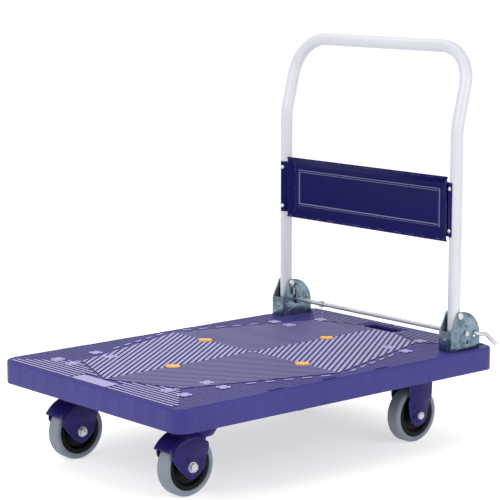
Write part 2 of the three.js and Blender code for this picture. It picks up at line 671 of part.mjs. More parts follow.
function kingpin() {
  const headTop = crownTop - forkSheet - GAP;
  const head = bar('z', kingpinHeadR, [0, 0], headTop - kingpinHeadThick, headTop, 6);
  return join(head, bar('z', kingpinRadius, [0, 0], headTop - 1, plateTop));
}

// ---------- fixed caster ----------
function rigidFork() {
  const outline = new THREE.Shape();
  const feet = THREE.MathUtils.degToRad(12);
  const [waist, waistZ] = [legTopHalf - legFlare, axleZ + wheelRadius * 0.512];
  outline.moveTo(-legTopHalf, plateFoot + 1);
  outline.lineTo(-waist, waistZ);
  outline.absarc(0, axleZ, forkFootR - 2, Math.PI + feet, 2 * Math.PI - feet);
  outline.lineTo(waist, waistZ);
  outline.lineTo(legTopHalf, plateFoot + 1);
  const legs = forkLegs(rigidTopHalf, plateFoot + 1, [-legTopHalf - OVER, legTopHalf + OVER])
    .intersect(prism('y', outline, -forkTopHalf, forkTopHalf, 10));
  return cut(join(topPlate(), legs), axleHole(0));
}

for (const [name, side] of [['left', -1], ['right', 1]]) {
  const front = `front_${name}`;
  addPiece(`${front}_caster_plate`, casterPlate(), materials.zinc, -casterX, side * casterY);
  addPiece(`${front}_swivel_race`, race(), materials.zinc, -casterX, side * casterY);
  addPiece(`${front}_kingpin`, kingpin(), materials.bright, -casterX, side * casterY);
  addPiece(`${front}_fork`, swivelFork(), materials.navy, -casterX, side * casterY);
  addWheel(front, -casterX - casterTrail, side * casterY);
  const rear = `rear_${name}`;
  addPiece(`${rear}_fork`, rigidFork(), materials.navy, casterX, side * casterY);
  addWheel(rear, casterX, side * casterY);
}

// The cart is centred on its overall length, which the pedal tip makes a little longer than the deck.
const outer = new THREE.Box3().setFromObject(cart);
cart.position.x = -(outer.min.x + outer.max.x) / 2;
cart.updateMatrixWorld(true);

export default cart;
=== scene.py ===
"""Folding platform cart: moulded deck, fold-down tube handle, two swivel and two fixed casters."""
import json
import math

import bpy
from mathutils import Matrix, Vector

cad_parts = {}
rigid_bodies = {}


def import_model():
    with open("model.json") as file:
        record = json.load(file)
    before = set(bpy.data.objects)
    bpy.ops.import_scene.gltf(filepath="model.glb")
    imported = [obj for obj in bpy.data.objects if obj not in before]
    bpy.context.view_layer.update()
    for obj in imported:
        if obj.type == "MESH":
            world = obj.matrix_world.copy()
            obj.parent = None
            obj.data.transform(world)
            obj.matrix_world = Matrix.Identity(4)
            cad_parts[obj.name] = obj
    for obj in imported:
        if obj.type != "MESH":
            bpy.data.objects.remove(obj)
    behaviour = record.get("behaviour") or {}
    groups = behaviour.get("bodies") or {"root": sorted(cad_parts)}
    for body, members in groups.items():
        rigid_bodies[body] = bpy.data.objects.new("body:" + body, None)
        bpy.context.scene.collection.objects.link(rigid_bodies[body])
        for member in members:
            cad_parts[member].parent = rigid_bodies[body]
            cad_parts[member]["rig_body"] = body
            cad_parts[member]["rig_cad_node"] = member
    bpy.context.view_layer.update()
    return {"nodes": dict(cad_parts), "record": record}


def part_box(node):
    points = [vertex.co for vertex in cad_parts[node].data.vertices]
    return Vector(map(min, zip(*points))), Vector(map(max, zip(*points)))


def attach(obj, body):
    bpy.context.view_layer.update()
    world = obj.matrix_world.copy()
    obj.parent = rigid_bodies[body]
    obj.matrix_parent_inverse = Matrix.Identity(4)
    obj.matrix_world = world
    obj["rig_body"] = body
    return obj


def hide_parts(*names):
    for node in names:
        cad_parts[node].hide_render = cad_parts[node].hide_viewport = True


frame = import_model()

MM = 0.001
NODES = frame["nodes"]
SLOT_OF = {part["node"]: part["material_slot"] for part in frame["record"]["subparts"]}

# ---------- places taken from the frame ----------
deck_low, deck_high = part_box("deck")
DECK_TOP = deck_high.z
DECK_LENGTH = deck_high.x - deck_low.x
DECK_WIDTH = deck_high.y - deck_low.y
MIDDLE_X = (deck_low.x + deck_high.x) / 2          # middle of the deck along its length
SKIRT = DECK_TOP - deck_low.z
RELIEF = 1.9 * MM                                  # height of the ribs on the deck


def middle(node):
    low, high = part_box(node)
    return (low + high) / 2


# ---------- modelling helpers ----------
def deselect():
    if bpy.context.mode != "OBJECT":
        bpy.ops.object.mode_set(mode="OBJECT")
    bpy.ops.object.select_all(action="DESELECT")


def pick(*objects):
    """Selects these objects alone, the last one active."""
    deselect()
    for obj in objects:
        obj.select_set(True)
    bpy.context.view_layer.objects.active = objects[-1]


def edit(obj, mode="FACE"):
    pick(obj)
    bpy.ops.object.mode_set(mode="EDIT")
    bpy.ops.mesh.select_mode(type=mode)
    bpy.ops.mesh.select_all(action="SELECT")


def done():
    bpy.ops.object.mode_set(mode="OBJECT")
    return bpy.context.object


def named(name):
    bpy.context.object.name = name
    bpy.context.object.data.name = name
    return bpy.context.object


def settle(obj):
    """Puts the object's place into its mesh."""
    pick(obj)
    bpy.ops.object.transform_apply(location=True, rotation=True, scale=True)
    return obj


def select_faces(obj, test):
    """In edit mode, selects the faces that test(centre, normal) accepts."""
    bpy.ops.object.mode_set(mode="OBJECT")
    for face in obj.data.polygons:
        face.select = test(face.center, face.normal)
    for edge in obj.data.edges:
        edge.select = False
    for point in obj.data.vertices:
        point.select = False
    bpy.ops.object.mode_set(mode="EDIT")
    bpy.ops.mesh.select_mode(type="FACE")


def select_upright_edges(obj, height):
    """In edit mode, selects the edges that rise by more than height."""
    edit(obj, "EDGE")
    bpy.ops.object.mode_set(mode="OBJECT")
    for item in (*obj.data.edges, *obj.data.vertices, *obj.data.polygons):
        item.select = False
    for edge in obj.data.edges:
        low, high = (obj.data.vertices[i].co for i in edge.vertices)
        edge.select = abs(low.z - high.z) > height
    bpy.ops.object.mode_set(mode="EDIT")


def modify(obj, kind, **values):
    pick(obj)
    changer = obj.modifiers.new(kind, kind)
    for key, value in values.items():
        setattr(changer, key, value)
    bpy.ops.object.modifier_apply(modifier=changer.name)
    return obj


def soften(obj, width, segments=2, angle=30):
    """Rounds the edges that are sharper than angle."""
    modify(obj, "BEVEL", width=width, segments=segments, limit_method="ANGLE",
           angle_limit=math.radians(angle), use_clamp_overlap=True)
    return smooth(obj, 40)


def smooth(obj, angle):
    pick(obj)
    bpy.ops.object.shade_smooth_by_angle(angle=math.radians(angle))
    return obj


def block(name, low, high):
    """A box between two corners."""
    low, high = Vector(low), Vector(high)
    bpy.ops.mesh.primitive_cube_add(size=1, location=(low + high) / 2, scale=high - low)
    return settle(named(name))


def cut_away(obj, *cutters):
    for cutter in cutters:
        modify(obj, "BOOLEAN", operation="DIFFERENCE", solver="EXACT", object=cutter)
        bpy.data.objects.remove(cutter)
    return obj


def join(name, *pieces):
    pick(*pieces)
    bpy.ops.object.join()
    return named(name)


def copied(obj, name, shift):
    """A copy with its own mesh, moved by shift."""
    pick(obj)
    bpy.ops.object.duplicate(linked=False)
    twin = named(name)
    twin.data.transform(Matrix.Translation(Vector(shift)))
    return twin


def outline_plate(name, points, axis, low, high):
    """A flat plate with this outline, given in the two other axes, thick from low to high along axis."""
    bpy.ops.mesh.primitive_circle_add(vertices=len(points), fill_type="NGON")
    plate = named(name)
    order = {"x": lambda p: (low, p[0], p[1]), "y": lambda p: (p[0], low, p[1]),
             "z": lambda p: (p[0], p[1], low)}[axis]
    for vertex, point in zip(plate.data.vertices, points):
        vertex.co = order(point)
    edit(plate)
    travel = Vector([high - low if letter == axis else 0 for letter in "xyz"])
    bpy.ops.mesh.extrude_region_move(TRANSFORM_OT_translate={"value": travel})
    bpy.ops.mesh.select_all(action="SELECT")
    bpy.ops.mesh.normals_make_consistent(inside=False)
    return done()


def turned(name, profile, centre, axis, steps=64):
    """A ring or disc spun from (radius, along) points about an axis through centre."""
    axis = Vector(axis)
    out = Vector((1, 0, 0)) if abs(axis.x) < 0.9 else Vector((0, 0, 1))
    centre = Vector(centre)
    bpy.ops.mesh.primitive_circle_add(vertices=len(profile), fill_type="NOTHING")
    ring = named(name)
    for vertex, (radius, along) in zip(ring.data.vertices, profile):
        vertex.co = centre + out * radius + axis * along
    edit(ring, "EDGE")
    bpy.ops.mesh.spin(steps=steps, angle=2 * math.pi, center=centre, axis=axis)
    bpy.ops.mesh.select_all(action="SELECT")
    bpy.ops.mesh.remove_doubles(threshold=1e-6)
    bpy.ops.mesh.dissolve_degenerate(threshold=1e-7)
    bpy.ops.mesh.normals_make_consistent(inside=False)
    done()
    return smooth(ring, 32)


def rod(name, points, radius, sides, bends=(), steps=8):
    """A round bar along points, with each inner corner rounded to its bend radius."""
    line = [Vector(points[0])]
    for i in range(1, len(points) - 1):
        before, corner, after = (Vector(p) for p in points[i - 1:i + 2])
        into, out = (corner - before).normalized(), (after - corner).normalized()
        turn = into.angle(out)
        side = (out - into).normalized()
        centre = corner + side * (bends[i - 1] / math.cos(turn / 2))
        along = (into + out).normalized()
        for k in range(steps + 1):
            angle = (k / steps - 0.5) * turn
            line.append(centre + bends[i - 1] * (along * math.sin(angle) - side * math.cos(angle)))
    line.append(Vector(points[-1]))
    return wire(name, line, radius, sides)


def wire(name, line, radius, sides):
    """A round bar that follows a line of points."""
    curve = bpy.data.curves.new(name, "CURVE")
    curve.dimensions = "3D"
    curve.bevel_depth = radius
    curve.bevel_resolution = max(1, sides // 2 - 1)
    curve.use_fill_caps = True
    spline = curve.splines.new("POLY")
    spline.points.add(len(line) - 1)
    for point, place in zip(spline.points, line):
        point.co = (*place, 1)
    obj = bpy.data.objects.new(name, curve)
    bpy.context.collection.objects.link(obj)
    pick(obj)
    bpy.ops.object.convert(target="MESH")
    obj = named(name)
    edit(obj)
    bpy.ops.mesh.remove_doubles(threshold=1e-6)
    bpy.ops.mesh.normals_make_consistent(inside=False)
    done()
    return smooth(obj, 50)


def coil(name, centre, axis, radius, wire_radius, turns, length, tails=()):
    """A coil spring along an axis, with straight tails given as end points."""
    axis = Vector(axis)
    out = axis.orthogonal().normalized()
    side = axis.cross(out)
    per_turn = 14
    line = []
    for k in range(turns * per_turn + 1):
        angle = 2 * math.pi * k / per_turn
        along = (k / (turns * per_turn) - 0.5) * length
        line.append(Vector(centre) + axis * along + radius * (out * math.cos(angle) + side * math.sin(angle)))
    if tails:
        line = [Vector(tails[0])] + line + [Vector(tails[1])]
    return wire(name, line, wire_radius, 6)


def refined(node, width, segments, angle):
    """A copy of a CAD solid with its flat faces made whole and its edges rounded."""
    pick(NODES[node])
    bpy.ops.object.duplicate(linked=False)
    piece = named(node + "_finished")
    piece.parent = None
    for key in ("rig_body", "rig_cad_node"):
        if key in piece:
            del piece[key]
    edit(piece)
    bpy.ops.mesh.remove_doubles(threshold=2e-6)
    bpy.ops.mesh.dissolve_limited(angle_limit=math.radians(1))
    done()
    return soften(piece, width, segments, angle)


def finish_node(piece, node):
    """Puts piece in the place of a CAD node: its finish, its body and its slot."""
    piece.data.materials.clear()
    piece.data.materials.append(FOR_SLOT[SLOT_OF[node]])
    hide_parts(node)
    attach(piece, NODES[node]["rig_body"])
    return piece


# ---------- shared shader effects ----------
def new_group(name, inputs, outputs):
    group = bpy.data.node_groups.new(name, "ShaderNodeTree")
    for label, kind, default in inputs:
        socket = group.interface.new_socket(label, in_out="INPUT", socket_type=kind)
        if default is not None:
            socket.default_value = default
    for label, kind in outputs:
        group.interface.new_socket(label, in_out="OUTPUT", socket_type=kind)
    return group, group.nodes.new("NodeGroupInput"), group.nodes.new("NodeGroupOutput")


def add(tree, kind, **values):
    node = tree.nodes.new(kind)
    for key, value in values.items():
        setattr(node, key, value)
    return node


def noise(tree, coords, scale):
    node = add(tree, "ShaderNodeTexNoise")
    node.inputs["Scale"].default_value = scale
    node.inputs["Detail"].default_value = 4.0
    node.inputs["Roughness"].default_value = 0.55
    tree.links.new(coords, node.inputs["Vector"])
    return node.outputs["Fac"]


def ramp(tree, value, low, high, to_low=0.0, to_high=1.0):
    node = add(tree, "ShaderNodeMapRange")
    node.inputs["From Min"].default_value = low
    node.inputs["From Max"].default_value = high
    node.inputs["To Min"].default_value = to_low
    node.inputs["To Max"].default_value = to_high
    tree.links.new(value, node.inputs["Value"])
    return node.outputs["Result"]


def build_edge_wear_and_sheen():
    """Mask that is 1 on outer edges, broken up by a fine noise: it lightens edges as wear and as a painted
    highlight where they would catch the light.
    """
    group, start, end = new_group(
        "edge_wear_and_sheen", [("Width", "NodeSocketFloat", 0.0015), ("Amount", "NodeSocketFloat", 0.5)],
        [("Mask", "NodeSocketFloat")])
    geometry = add(group, "ShaderNodeNewGeometry")
    bevel = add(group, "ShaderNodeBevel", samples=4)
    group.links.new(start.outputs["Width"], bevel.inputs["Radius"])
    dot = add(group, "ShaderNodeVectorMath", operation="DOT_PRODUCT")
    group.links.new(bevel.outputs["Normal"], dot.inputs[0])
    group.links.new(geometry.outputs["Normal"], dot.inputs[1])
    edge = ramp(group, dot.outputs["Value"], 0.995, 0.93)
    coords = add(group, "ShaderNodeTexCoord")
    broken = ramp(group, noise(group, coords.outputs["Object"], 90.0), 0.45, 0.62)
    both = add(group, "ShaderNodeMath", operation="MULTIPLY")
    group.links.new(edge, both.inputs[0])
    group.links.new(broken, both.inputs[1])
    scaled = add(group, "ShaderNodeMath", operation="MULTIPLY", use_clamp=True)
    group.links.new(both.outputs[0], scaled.inputs[0])
    group.links.new(start.outputs["Amount"], scaled.inputs[1])
    group.links.new(scaled.outputs[0], end.inputs["Mask"])
    return group


def build_mottle():
    """Two scales of soft cloudy variation, for paint, plating and moulded plastic."""
    group, start, end = new_group(
        "mottle", [("Large", "NodeSocketFloat", 9.0), ("Small", "NodeSocketFloat", 160.0)],
        [("Cloud", "NodeSocketFloat"), ("Grain", "NodeSocketFloat")])
    coords = add(group, "ShaderNodeTexCoord")
    for label, out, detail in (("Large", "Cloud", 3.0), ("Small", "Grain", 5.0)):
        node = add(group, "ShaderNodeTexNoise")
        node.inputs["Detail"].default_value = detail
        group.links.new(coords.outputs["Object"], node.inputs["Vector"])
        group.links.new(start.outputs[label], node.inputs["Scale"])
        group.links.new(node.outputs["Fac"], end.inputs[out])
    return group


EDGE_WEAR_AND_SHEEN = build_edge_wear_and_sheen()
MOTTLE = build_mottle()


class Finish:
    """A material in the making: a Principled shader with the shared effects at hand."""

    def __init__(self, name, **constants):
        self.material = bpy.data.materials.new(name)
        self.material.use_nodes = True
        self.tree = self.material.node_tree
        self.shader = self.tree.nodes["Principled BSDF"]
        for label, value in constants.items():
            self.shader.inputs[label.replace("_", " ")].default_value = value

    def group(self, source, **values):
        node = add(self.tree, "ShaderNodeGroup", node_tree=source)
        for label, value in values.items():
            node.inputs[label].default_value = value
        return node

    def mix(self, mask, first, second):
        node = add(self.tree, "ShaderNodeMix", data_type="RGBA")
        self.tree.links.new(mask, node.inputs["Factor"])
        for socket, value in ((node.inputs[6], first), (node.inputs[7], second)):
            if isinstance(value, tuple):
                socket.default_value = (*value, 1)
            else:
                self.tree.links.new(value, socket)
        return node.outputs[2]

    def feed(self, label, value):
        self.tree.links.new(value, self.shader.inputs[label])

    def cloudy(self, mottle, low, high, first, second):
        """A colour that drifts between two others with the cloud, from low to high."""
        return self.mix(ramp(self.tree, mottle.outputs["Cloud"], low, high), first, second)

    def relief(self):
        """The mark of raised and pressed detail on the mesh, which carries painted highlight and painted shade.
        """
        node = add(self.tree, "ShaderNodeAttribute", attribute_name="relief", attribute_type="GEOMETRY")
        return node.outputs["Fac"]

    def grain(self, mottle, smoothest, roughest, strength, depth):
        """Roughness and a fine bump from the same grain."""
        grain = mottle.outputs["Grain"]
        self.feed("Roughness", ramp(self.tree, grain, 0.3, 0.7, smoothest, roughest))
        node = add(self.tree, "ShaderNodeBump")
        node.inputs["Strength"].default_value = strength
        node.inputs["Distance"].default_value = depth * MM
        self.tree.links.new(grain, node.inputs["Height"])
        self.feed("Normal", node.outputs["Normal"])
        return self.material


def height_mask(finish, low, high):
    """0 below low and 1 above high, along Z in the cart's own frame."""
    coords = add(finish.tree, "ShaderNodeTexCoord")
    split = add(finish.tree, "ShaderNodeSeparateXYZ")
    finish.tree.links.new(coords.outputs["Object"], split.inputs[0])
    return ramp(finish.tree, split.outputs["Z"], low, high)


def deck_plastic():
    """Blue plastic with painted shade in the grooves and on the sides of the relief, a painted highlight on its
    tops, and edges a little lighter as wear and as a painted highlight.
    """
    finish = Finish("moulded_blue_plastic", Specular_IOR_Level=0.32)
    mottle = finish.group(MOTTLE, Large=6.0, Small=420.0)
    base = finish.cloudy(mottle, 0.35, 0.7, (0.026, 0.021, 0.165), (0.032, 0.027, 0.192))
    relief = finish.relief()
    # painted shade: the sides of the relief and the floor plates between the ribs are darkened
    groove_shade = finish.mix(relief, base, (0.008, 0.007, 0.045))
    # painted highlight: the tops of the relief are lightened
    top = height_mask(finish, DECK_TOP + RELIEF - 0.45 * MM, DECK_TOP + RELIEF - 0.1 * MM)
    painted_light = add(finish.tree, "ShaderNodeMath", operation="MULTIPLY")
    finish.tree.links.new(top, painted_light.inputs[0])
    finish.tree.links.new(relief, painted_light.inputs[1])
    sheen_and_wear = finish.mix(painted_light.outputs[0], groove_shade, (0.34, 0.32, 0.60))
    # the edges are a little lighter, as wear and as a painted highlight
    wear_and_sheen = finish.group(EDGE_WEAR_AND_SHEEN, Width=1.2 * MM, Amount=0.15)
    finish.feed("Base Color", finish.mix(wear_and_sheen.outputs["Mask"], sheen_and_wear, (0.34, 0.33, 0.60)))
    return finish.grain(mottle, 0.36, 0.5, 0.12, 0.4)


def painted(name, colour, lit, roughness, coat):
    """Gloss paint with a painted highlight on its edges, broken up like wear, and on its pressed bead lines."""
    finish = Finish(name, Specular_IOR_Level=0.08, Coat_Weight=coat, Coat_Roughness=0.1)
    mottle = finish.group(MOTTLE, Large=11.0, Small=260.0)
    base = finish.cloudy(mottle, 0.3, 0.75, colour, lit)
    # painted highlight along the pressed bead lines
    with_bead_highlight = finish.mix(finish.relief(), base, PAINT_HIGHLIGHT)
    wear_and_sheen = finish.group(EDGE_WEAR_AND_SHEEN, Width=1.5 * MM, Amount=0.9)
    finish.feed("Base Color", finish.mix(wear_and_sheen.outputs["Mask"], with_bead_highlight, PAINT_HIGHLIGHT))
    return finish.grain(mottle, roughness - 0.06, roughness + 0.08, 0.08, 0.3)


def plated(name, dark, light, roughness, cloud, bump, metal, sheen_and_wear):
    """Plated steel with the blotches of its bath, and edges lightened as wear and as a painted highlight."""
    finish = Finish(name, Metallic=metal)
    mottle = finish.group(MOTTLE, Large=cloud, Small=330.0)
    cells = add(finish.tree, "ShaderNodeTexVoronoi", feature="SMOOTH_F1")
    coords = add(finish.tree, "ShaderNodeTexCoord")
    finish.tree.links.new(coords.outputs["Object"], cells.inputs["Vector"])
    cells.inputs["Scale"].default_value = cloud * 4
    blend = add(finish.tree, "ShaderNodeMath", operation="MULTIPLY_ADD")
    finish.tree.links.new(cells.outputs["Distance"], blend.inputs[0])
    blend.inputs[1].default_value = 0.35
    finish.tree.links.new(mottle.outputs["Cloud"], blend.inputs[2])
    sheet = finish.mix(ramp(finish.tree, blend.outputs[0], 0.35, 0.85), dark, light)
    wear_and_sheen = finish.group(EDGE_WEAR_AND_SHEEN, Width=1.1 * MM, Amount=sheen_and_wear)
    finish.feed("Base Color", finish.mix(wear_and_sheen.outputs["Mask"], sheet, PLATE_EDGE))
    return finish.grain(mottle, roughness - 0.07, roughness + 0.1, bump, 0.3)


def speckled(finish, large, small, cloud, colours, specks, speck_colour):
    """A cloudy colour with fine specks over it, such as scuffs or dust."""
    mottle = finish.group(MOTTLE, Large=large, Small=small)
    base = finish.cloudy(mottle, *cloud, *colours)
    mask = ramp(finish.tree, mottle.outputs["Grain"], *specks)
    finish.feed("Base Color", finish.mix(mask, base, speck_colour))
    return mottle


def tube_coat():
    finish = Finish("light_grey_powder_coat", Coat_Weight=0.25, Coat_Roughness=0.2, Metallic=0.0)
    mottle = speckled(finish, 8.0, 900.0, (0.3, 0.7), ((0.53, 0.54, 0.585), (0.58, 0.59, 0.63)),
                      (0.68, 0.76), (0.42, 0.43, 0.48))
    return finish.grain(mottle, 0.3, 0.44, 0.1, 0.2)


def pad_rubber():
    finish = Finish("orange_grip_pad", Roughness=0.45)
    mottle = finish.group(MOTTLE, Large=60.0, Small=700.0)
    base = finish.cloudy(mottle, 0.35, 0.65, (0.42, 0.11, 0.012), (0.50, 0.15, 0.02))
    # painted highlight: the domed middle of the pad is lightened
    high = height_mask(finish, DECK_TOP + 1.9 * MM, DECK_TOP + 3.5 * MM)
    finish.feed("Base Color", finish.mix(high, base, (0.92, 0.52, 0.13)))
    return finish.grain(mottle, 0.38, 0.55, 0.15, 0.3)


def tyre_rubber():
    finish = Finish("grey_tyre_rubber", Roughness=0.6)
    mottle = speckled(finish, 16.0, 520.0, (0.35, 0.7), ((0.150, 0.175, 0.215), (0.205, 0.235, 0.280)),
                      (0.6, 0.8, 0.0, 0.5), (0.30, 0.32, 0.35))
    return finish.grain(mottle, 0.5, 0.7, 0.2, 0.3)


def hub_plastic():
    finish = Finish("black_hub_plastic", Specular_IOR_Level=0.12)
    mottle = finish.group(MOTTLE, Large=30.0, Small=480.0)
    finish.feed("Base Color", finish.mix(mottle.outputs["Cloud"], (0.002, 0.002, 0.003), (0.005, 0.005, 0.007)))
    return finish.grain(mottle, 0.32, 0.48, 0.12, 0.3)


# colour of the painted highlight on gloss paint edges and pressed bead lines
PAINT_HIGHLIGHT = (0.17, 0.17, 0.30)
# colour of the lighter plated edges, as wear and as a painted highlight
PLATE_EDGE = (0.72, 0.77, 0.80)
FORK_BLUE = painted("fork_blue_paint", (0.013, 0.009, 0.090), (0.020, 0.014, 0.122), roughness=0.24, coat=0.12)
BRIGHT = plated("bright_plate", (0.48, 0.50, 0.52), (0.64, 0.66, 0.68), roughness=0.3, cloud=40.0, bump=0.03,
                metal=0.7, sheen_and_wear=0.0)
FOR_SLOT = {
    "deck_plastic": deck_plastic(),
    "navy_paint": painted("navy_gloss_paint", (0.002, 0.002, 0.064), (0.003, 0.0025, 0.080), roughness=0.3,
                          coat=0.02),
    "zinc_plate": plated("zinc_plate", (0.055, 0.09, 0.13), (0.25, 0.33, 0.40), roughness=0.26, cloud=24.0,
                         bump=0.1, metal=1.0, sheen_and_wear=1.0),
    "bright_steel": BRIGHT,
    "handle_tube": tube_coat(),
    "orange_pad": pad_rubber(),
    "grey_tyre": tyre_rubber(),
    "black_hub": hub_plastic(),
}


# ---------- camera, lights and floor ----------
CAMERA_OFFSET = (-2.680, -3.079, 0.888)             # metres from the middle of the deck's top
CAMERA_DIP, CAMERA_TURN = 9.21, -40.96              # degrees
CAMERA_LENS = 137.55
FLOOR_WIDTH = 240
LAMPS = [((-2.6, -0.4, 2.2), 1.6, 40), ((0.6, -3.3, 1.6), 2.0, 34), ((0.3, 1.4, 3.2), 3.0, 30)]
LAMP_AIM = Vector((0.05, 0, 0.35))
SKY_STRENGTH = 0.78


def stage():
    """The camera, a pale floor that glows a little, three soft lamps and a white sky."""
    dx, dy, dz = CAMERA_OFFSET
    bpy.ops.object.camera_add(location=(MIDDLE_X + dx, dy, DECK_TOP + dz),
                              rotation=(math.radians(90 - CAMERA_DIP), 0, math.radians(CAMERA_TURN)))
    camera = bpy.context.object
    camera.data.lens = CAMERA_LENS
    camera.data.sensor_width = 36
    bpy.context.scene.camera = camera
    bpy.context.scene.view_settings.view_transform = "Standard"
    bpy.ops.mesh.primitive_plane_add(size=FLOOR_WIDTH)
    floor = named("studio_floor")
    finish = Finish("pale_studio_floor", Roughness=0.9, Emission_Color=(1, 1, 1, 1), Emission_Strength=0.55)
    coords = add(finish.tree, "ShaderNodeTexCoord")
    finish.feed("Base Color", finish.mix(noise(finish.tree, coords.outputs["Object"], 1.5), (0.62, 0.62, 0.63),
                                         (0.66, 0.66, 0.66)))
    floor.data.materials.append(finish.material)
    for place, size, power in LAMPS:
        bpy.ops.object.light_add(type="AREA", location=place)
        lamp = bpy.context.object
        lamp.data.size = size
        lamp.data.energy = power
        lamp.rotation_euler = (LAMP_AIM - Vector(place)).to_track_quat("-Z", "Y").to_euler()
    world = bpy.data.worlds.new("studio")
    bpy.context.scene.world = world
    world.use_nodes = True
    sky = world.node_tree.nodes["Background"]
    sky.inputs["Color"].default_value = (1, 1, 1, 1)
    sky.inputs["Strength"].default_value = SKY_STRENGTH


# ---------- deck ----------
RIB_PITCH = (20.4 * MM, 14.7 * MM)                  # along and across the deck
HOLE_X = 400 * MM                                   # middle of the hand hole from the deck's middle
PAD_PLACES = [(side * 222 * MM, 0) for side in (-1, 1)] + [(0, side * 161 * MM) for side in (-1, 1)]
BOSSES = [(x * MM, side * y * MM) for x in (-365, -265, 256, 356) for y in (163, 215) for side in (-1, 1)
          if not (x > 300 and y > 200)]
DASHES = [(way * (40 + 40 * k) * MM, side * (276 - 12.4 * k) * MM) for way in (-1, 1) for side in (-1, 1)
          for k in range(5)]
# The rest of the deck's plan is in millimetres from its middle.
FIELD = [(400, 0), (335, 168), (0, 272)]            # corners of the ribbed field in one quarter
EDGE_PITCH = 11.9                                   # between the ribs of the border
END_RIBS, END_RIB_START = 9, 441                    # count, and the outermost one's middle
SIDE_RIBS, SIDE_RIB_START = 11, 296
SIDE_RIB_RISE = 0.6                                 # the side ribs stand up far less than the others
CORNER_TRIM = 16                                    # the outermost ribs stop short of the rounded corners
PATCH_EDGE = 63                                     # half width kept free for the patch and the hand hole
SLOT_CENTRES = (-195, -48, 102)
SLOT_EDGE = 27                                      # half length kept free at each slot
BRACKET_FRONT, BRACKET_INSIDE = 312, 250            # ribs keep out of the brackets' corner
DULL_QUARTER, DULL_BORDER = 0.42, 0.5               # how strongly painted light marks the duller ribs
WEB = 2.5 * MM                                      # thickness of a web under the deck


def deck_shell():
    """The hollow tray with its rounded corners and top edge."""
    bpy.ops.mesh.primitive_cube_add(size=1, location=(MIDDLE_X, 0, DECK_TOP - SKIRT / 2),
                                    scale=(DECK_LENGTH, DECK_WIDTH, SKIRT))
    deck = settle(named("deck_shell"))
    select_upright_edges(deck, SKIRT / 2)
    bpy.ops.mesh.bevel(offset=30 * MM, segments=12, affect="EDGES")
    select_faces(deck, lambda centre, normal: normal.z > 0.9)
    bpy.ops.mesh.region_to_loop()
    bpy.ops.mesh.bevel(offset=5 * MM, segments=4, affect="EDGES")
    select_faces(deck, lambda centre, normal: normal.z < -0.9)
    bpy.ops.mesh.inset(thickness=7 * MM)
    bpy.ops.mesh.extrude_region_move(TRANSFORM_OT_translate={"value": (0, 0, SKIRT - 4 * MM)})
    bpy.ops.mesh.select_all(action="SELECT")
    bpy.ops.mesh.normals_make_consistent(inside=False)
    return done()


def relief_start(name, size, place=(0, 0, 0)):
    """A block on the deck's top, in the deck's own frame: x and y from its middle, z from its top."""
    bpy.ops.mesh.primitive_cube_add(size=1, location=place, scale=size)
    return settle(named(name))


def marked(obj, strength=lambda x, y: 1.0):
    """Marks a piece of the relief for painted light: its top gets a painted highlight and its sides and floor
    painted shade.
    """
    layer = obj.data.attributes.new("relief", "FLOAT", "POINT")
    for item, point in zip(layer.data, obj.data.vertices):
        item.value = strength(point.co.x, point.co.y)
    return obj


def by_quarter(x, y):
    """The painted highlight and shade of the ribs are full in two opposite quarters of the field and weaker in
    the other two.
    """
    return 1.0 if x * y <= 0 else DULL_QUARTER


def by_end(x, y):
    """The painted highlight and shade of the border ribs are full at the front end and weaker at the handle
    end.
    """
    return 1.0 if x < 0 else DULL_BORDER


def relief_end(obj):
    """Puts a finished piece of the relief in its place on the deck."""
    obj.location = (MIDDLE_X, 0, DECK_TOP)
    return settle(obj)


def cut_plane(obj, point, normal):
    """Cuts obj off on the side that the normal points to, and closes it."""
    edit(obj, "EDGE")
    bpy.ops.mesh.bisect(plane_co=point, plane_no=normal, use_fill=True, clear_outer=True)
    done()


def deck_ribs():
    """Nested diamonds of low ribs, modelled in one quarter of the field and mirrored."""
    along, across = RIB_PITCH
    pitch = along * across / math.hypot(along, across)
    uphill = Vector((across, along, 0)).normalized()
    ribs = relief_start("deck_ribs", (0.7, 0.67 * pitch, 2 * RELIEF))
    select_faces(ribs, lambda centre, normal: normal.z > 0.9)
    bpy.ops.transform.resize(value=(1, 0.84, 1))
    done()
    ribs.data.transform(Matrix.Rotation(-math.atan2(across, along), 4, "Z"))
    ribs.data.transform(Matrix.Translation(uphill * (0.5 * pitch)))
    modify(ribs, "ARRAY", count=30, use_relative_offset=False, use_constant_offset=True,
           constant_offset_displace=uphill * pitch)
    gap = 0.25 * MM
    cut_plane(ribs, (gap, 0, 0), (-1, 0, 0))
    cut_plane(ribs, (0, gap, 0), (0, -1, 0))
    for (x0, y0), (x1, y1) in zip(FIELD, FIELD[1:]):
        cut_plane(ribs, (x0 * MM, y0 * MM, 0), Vector((y1 - y0, x0 - x1, 0)).normalized())
    modify(ribs, "MIRROR", use_axis=(True, True, False), use_mirror_merge=False)
    clear = [relief_start("hole_edge", (54 * MM, 118 * MM, 20 * MM), (HOLE_X, 0, 0))]
    for x, y in PAD_PLACES:
        bpy.ops.mesh.primitive_cylinder_add(vertices=32, radius=19 * MM, depth=20 * MM, location=(x, y, 0))
        clear.append(settle(named("pad_edge")))
    cut_away(ribs, *clear)
    # the ribs carry a painted highlight on their tops and painted shade on their sides, by quarter
    return relief_end(marked(ribs, by_quarter))


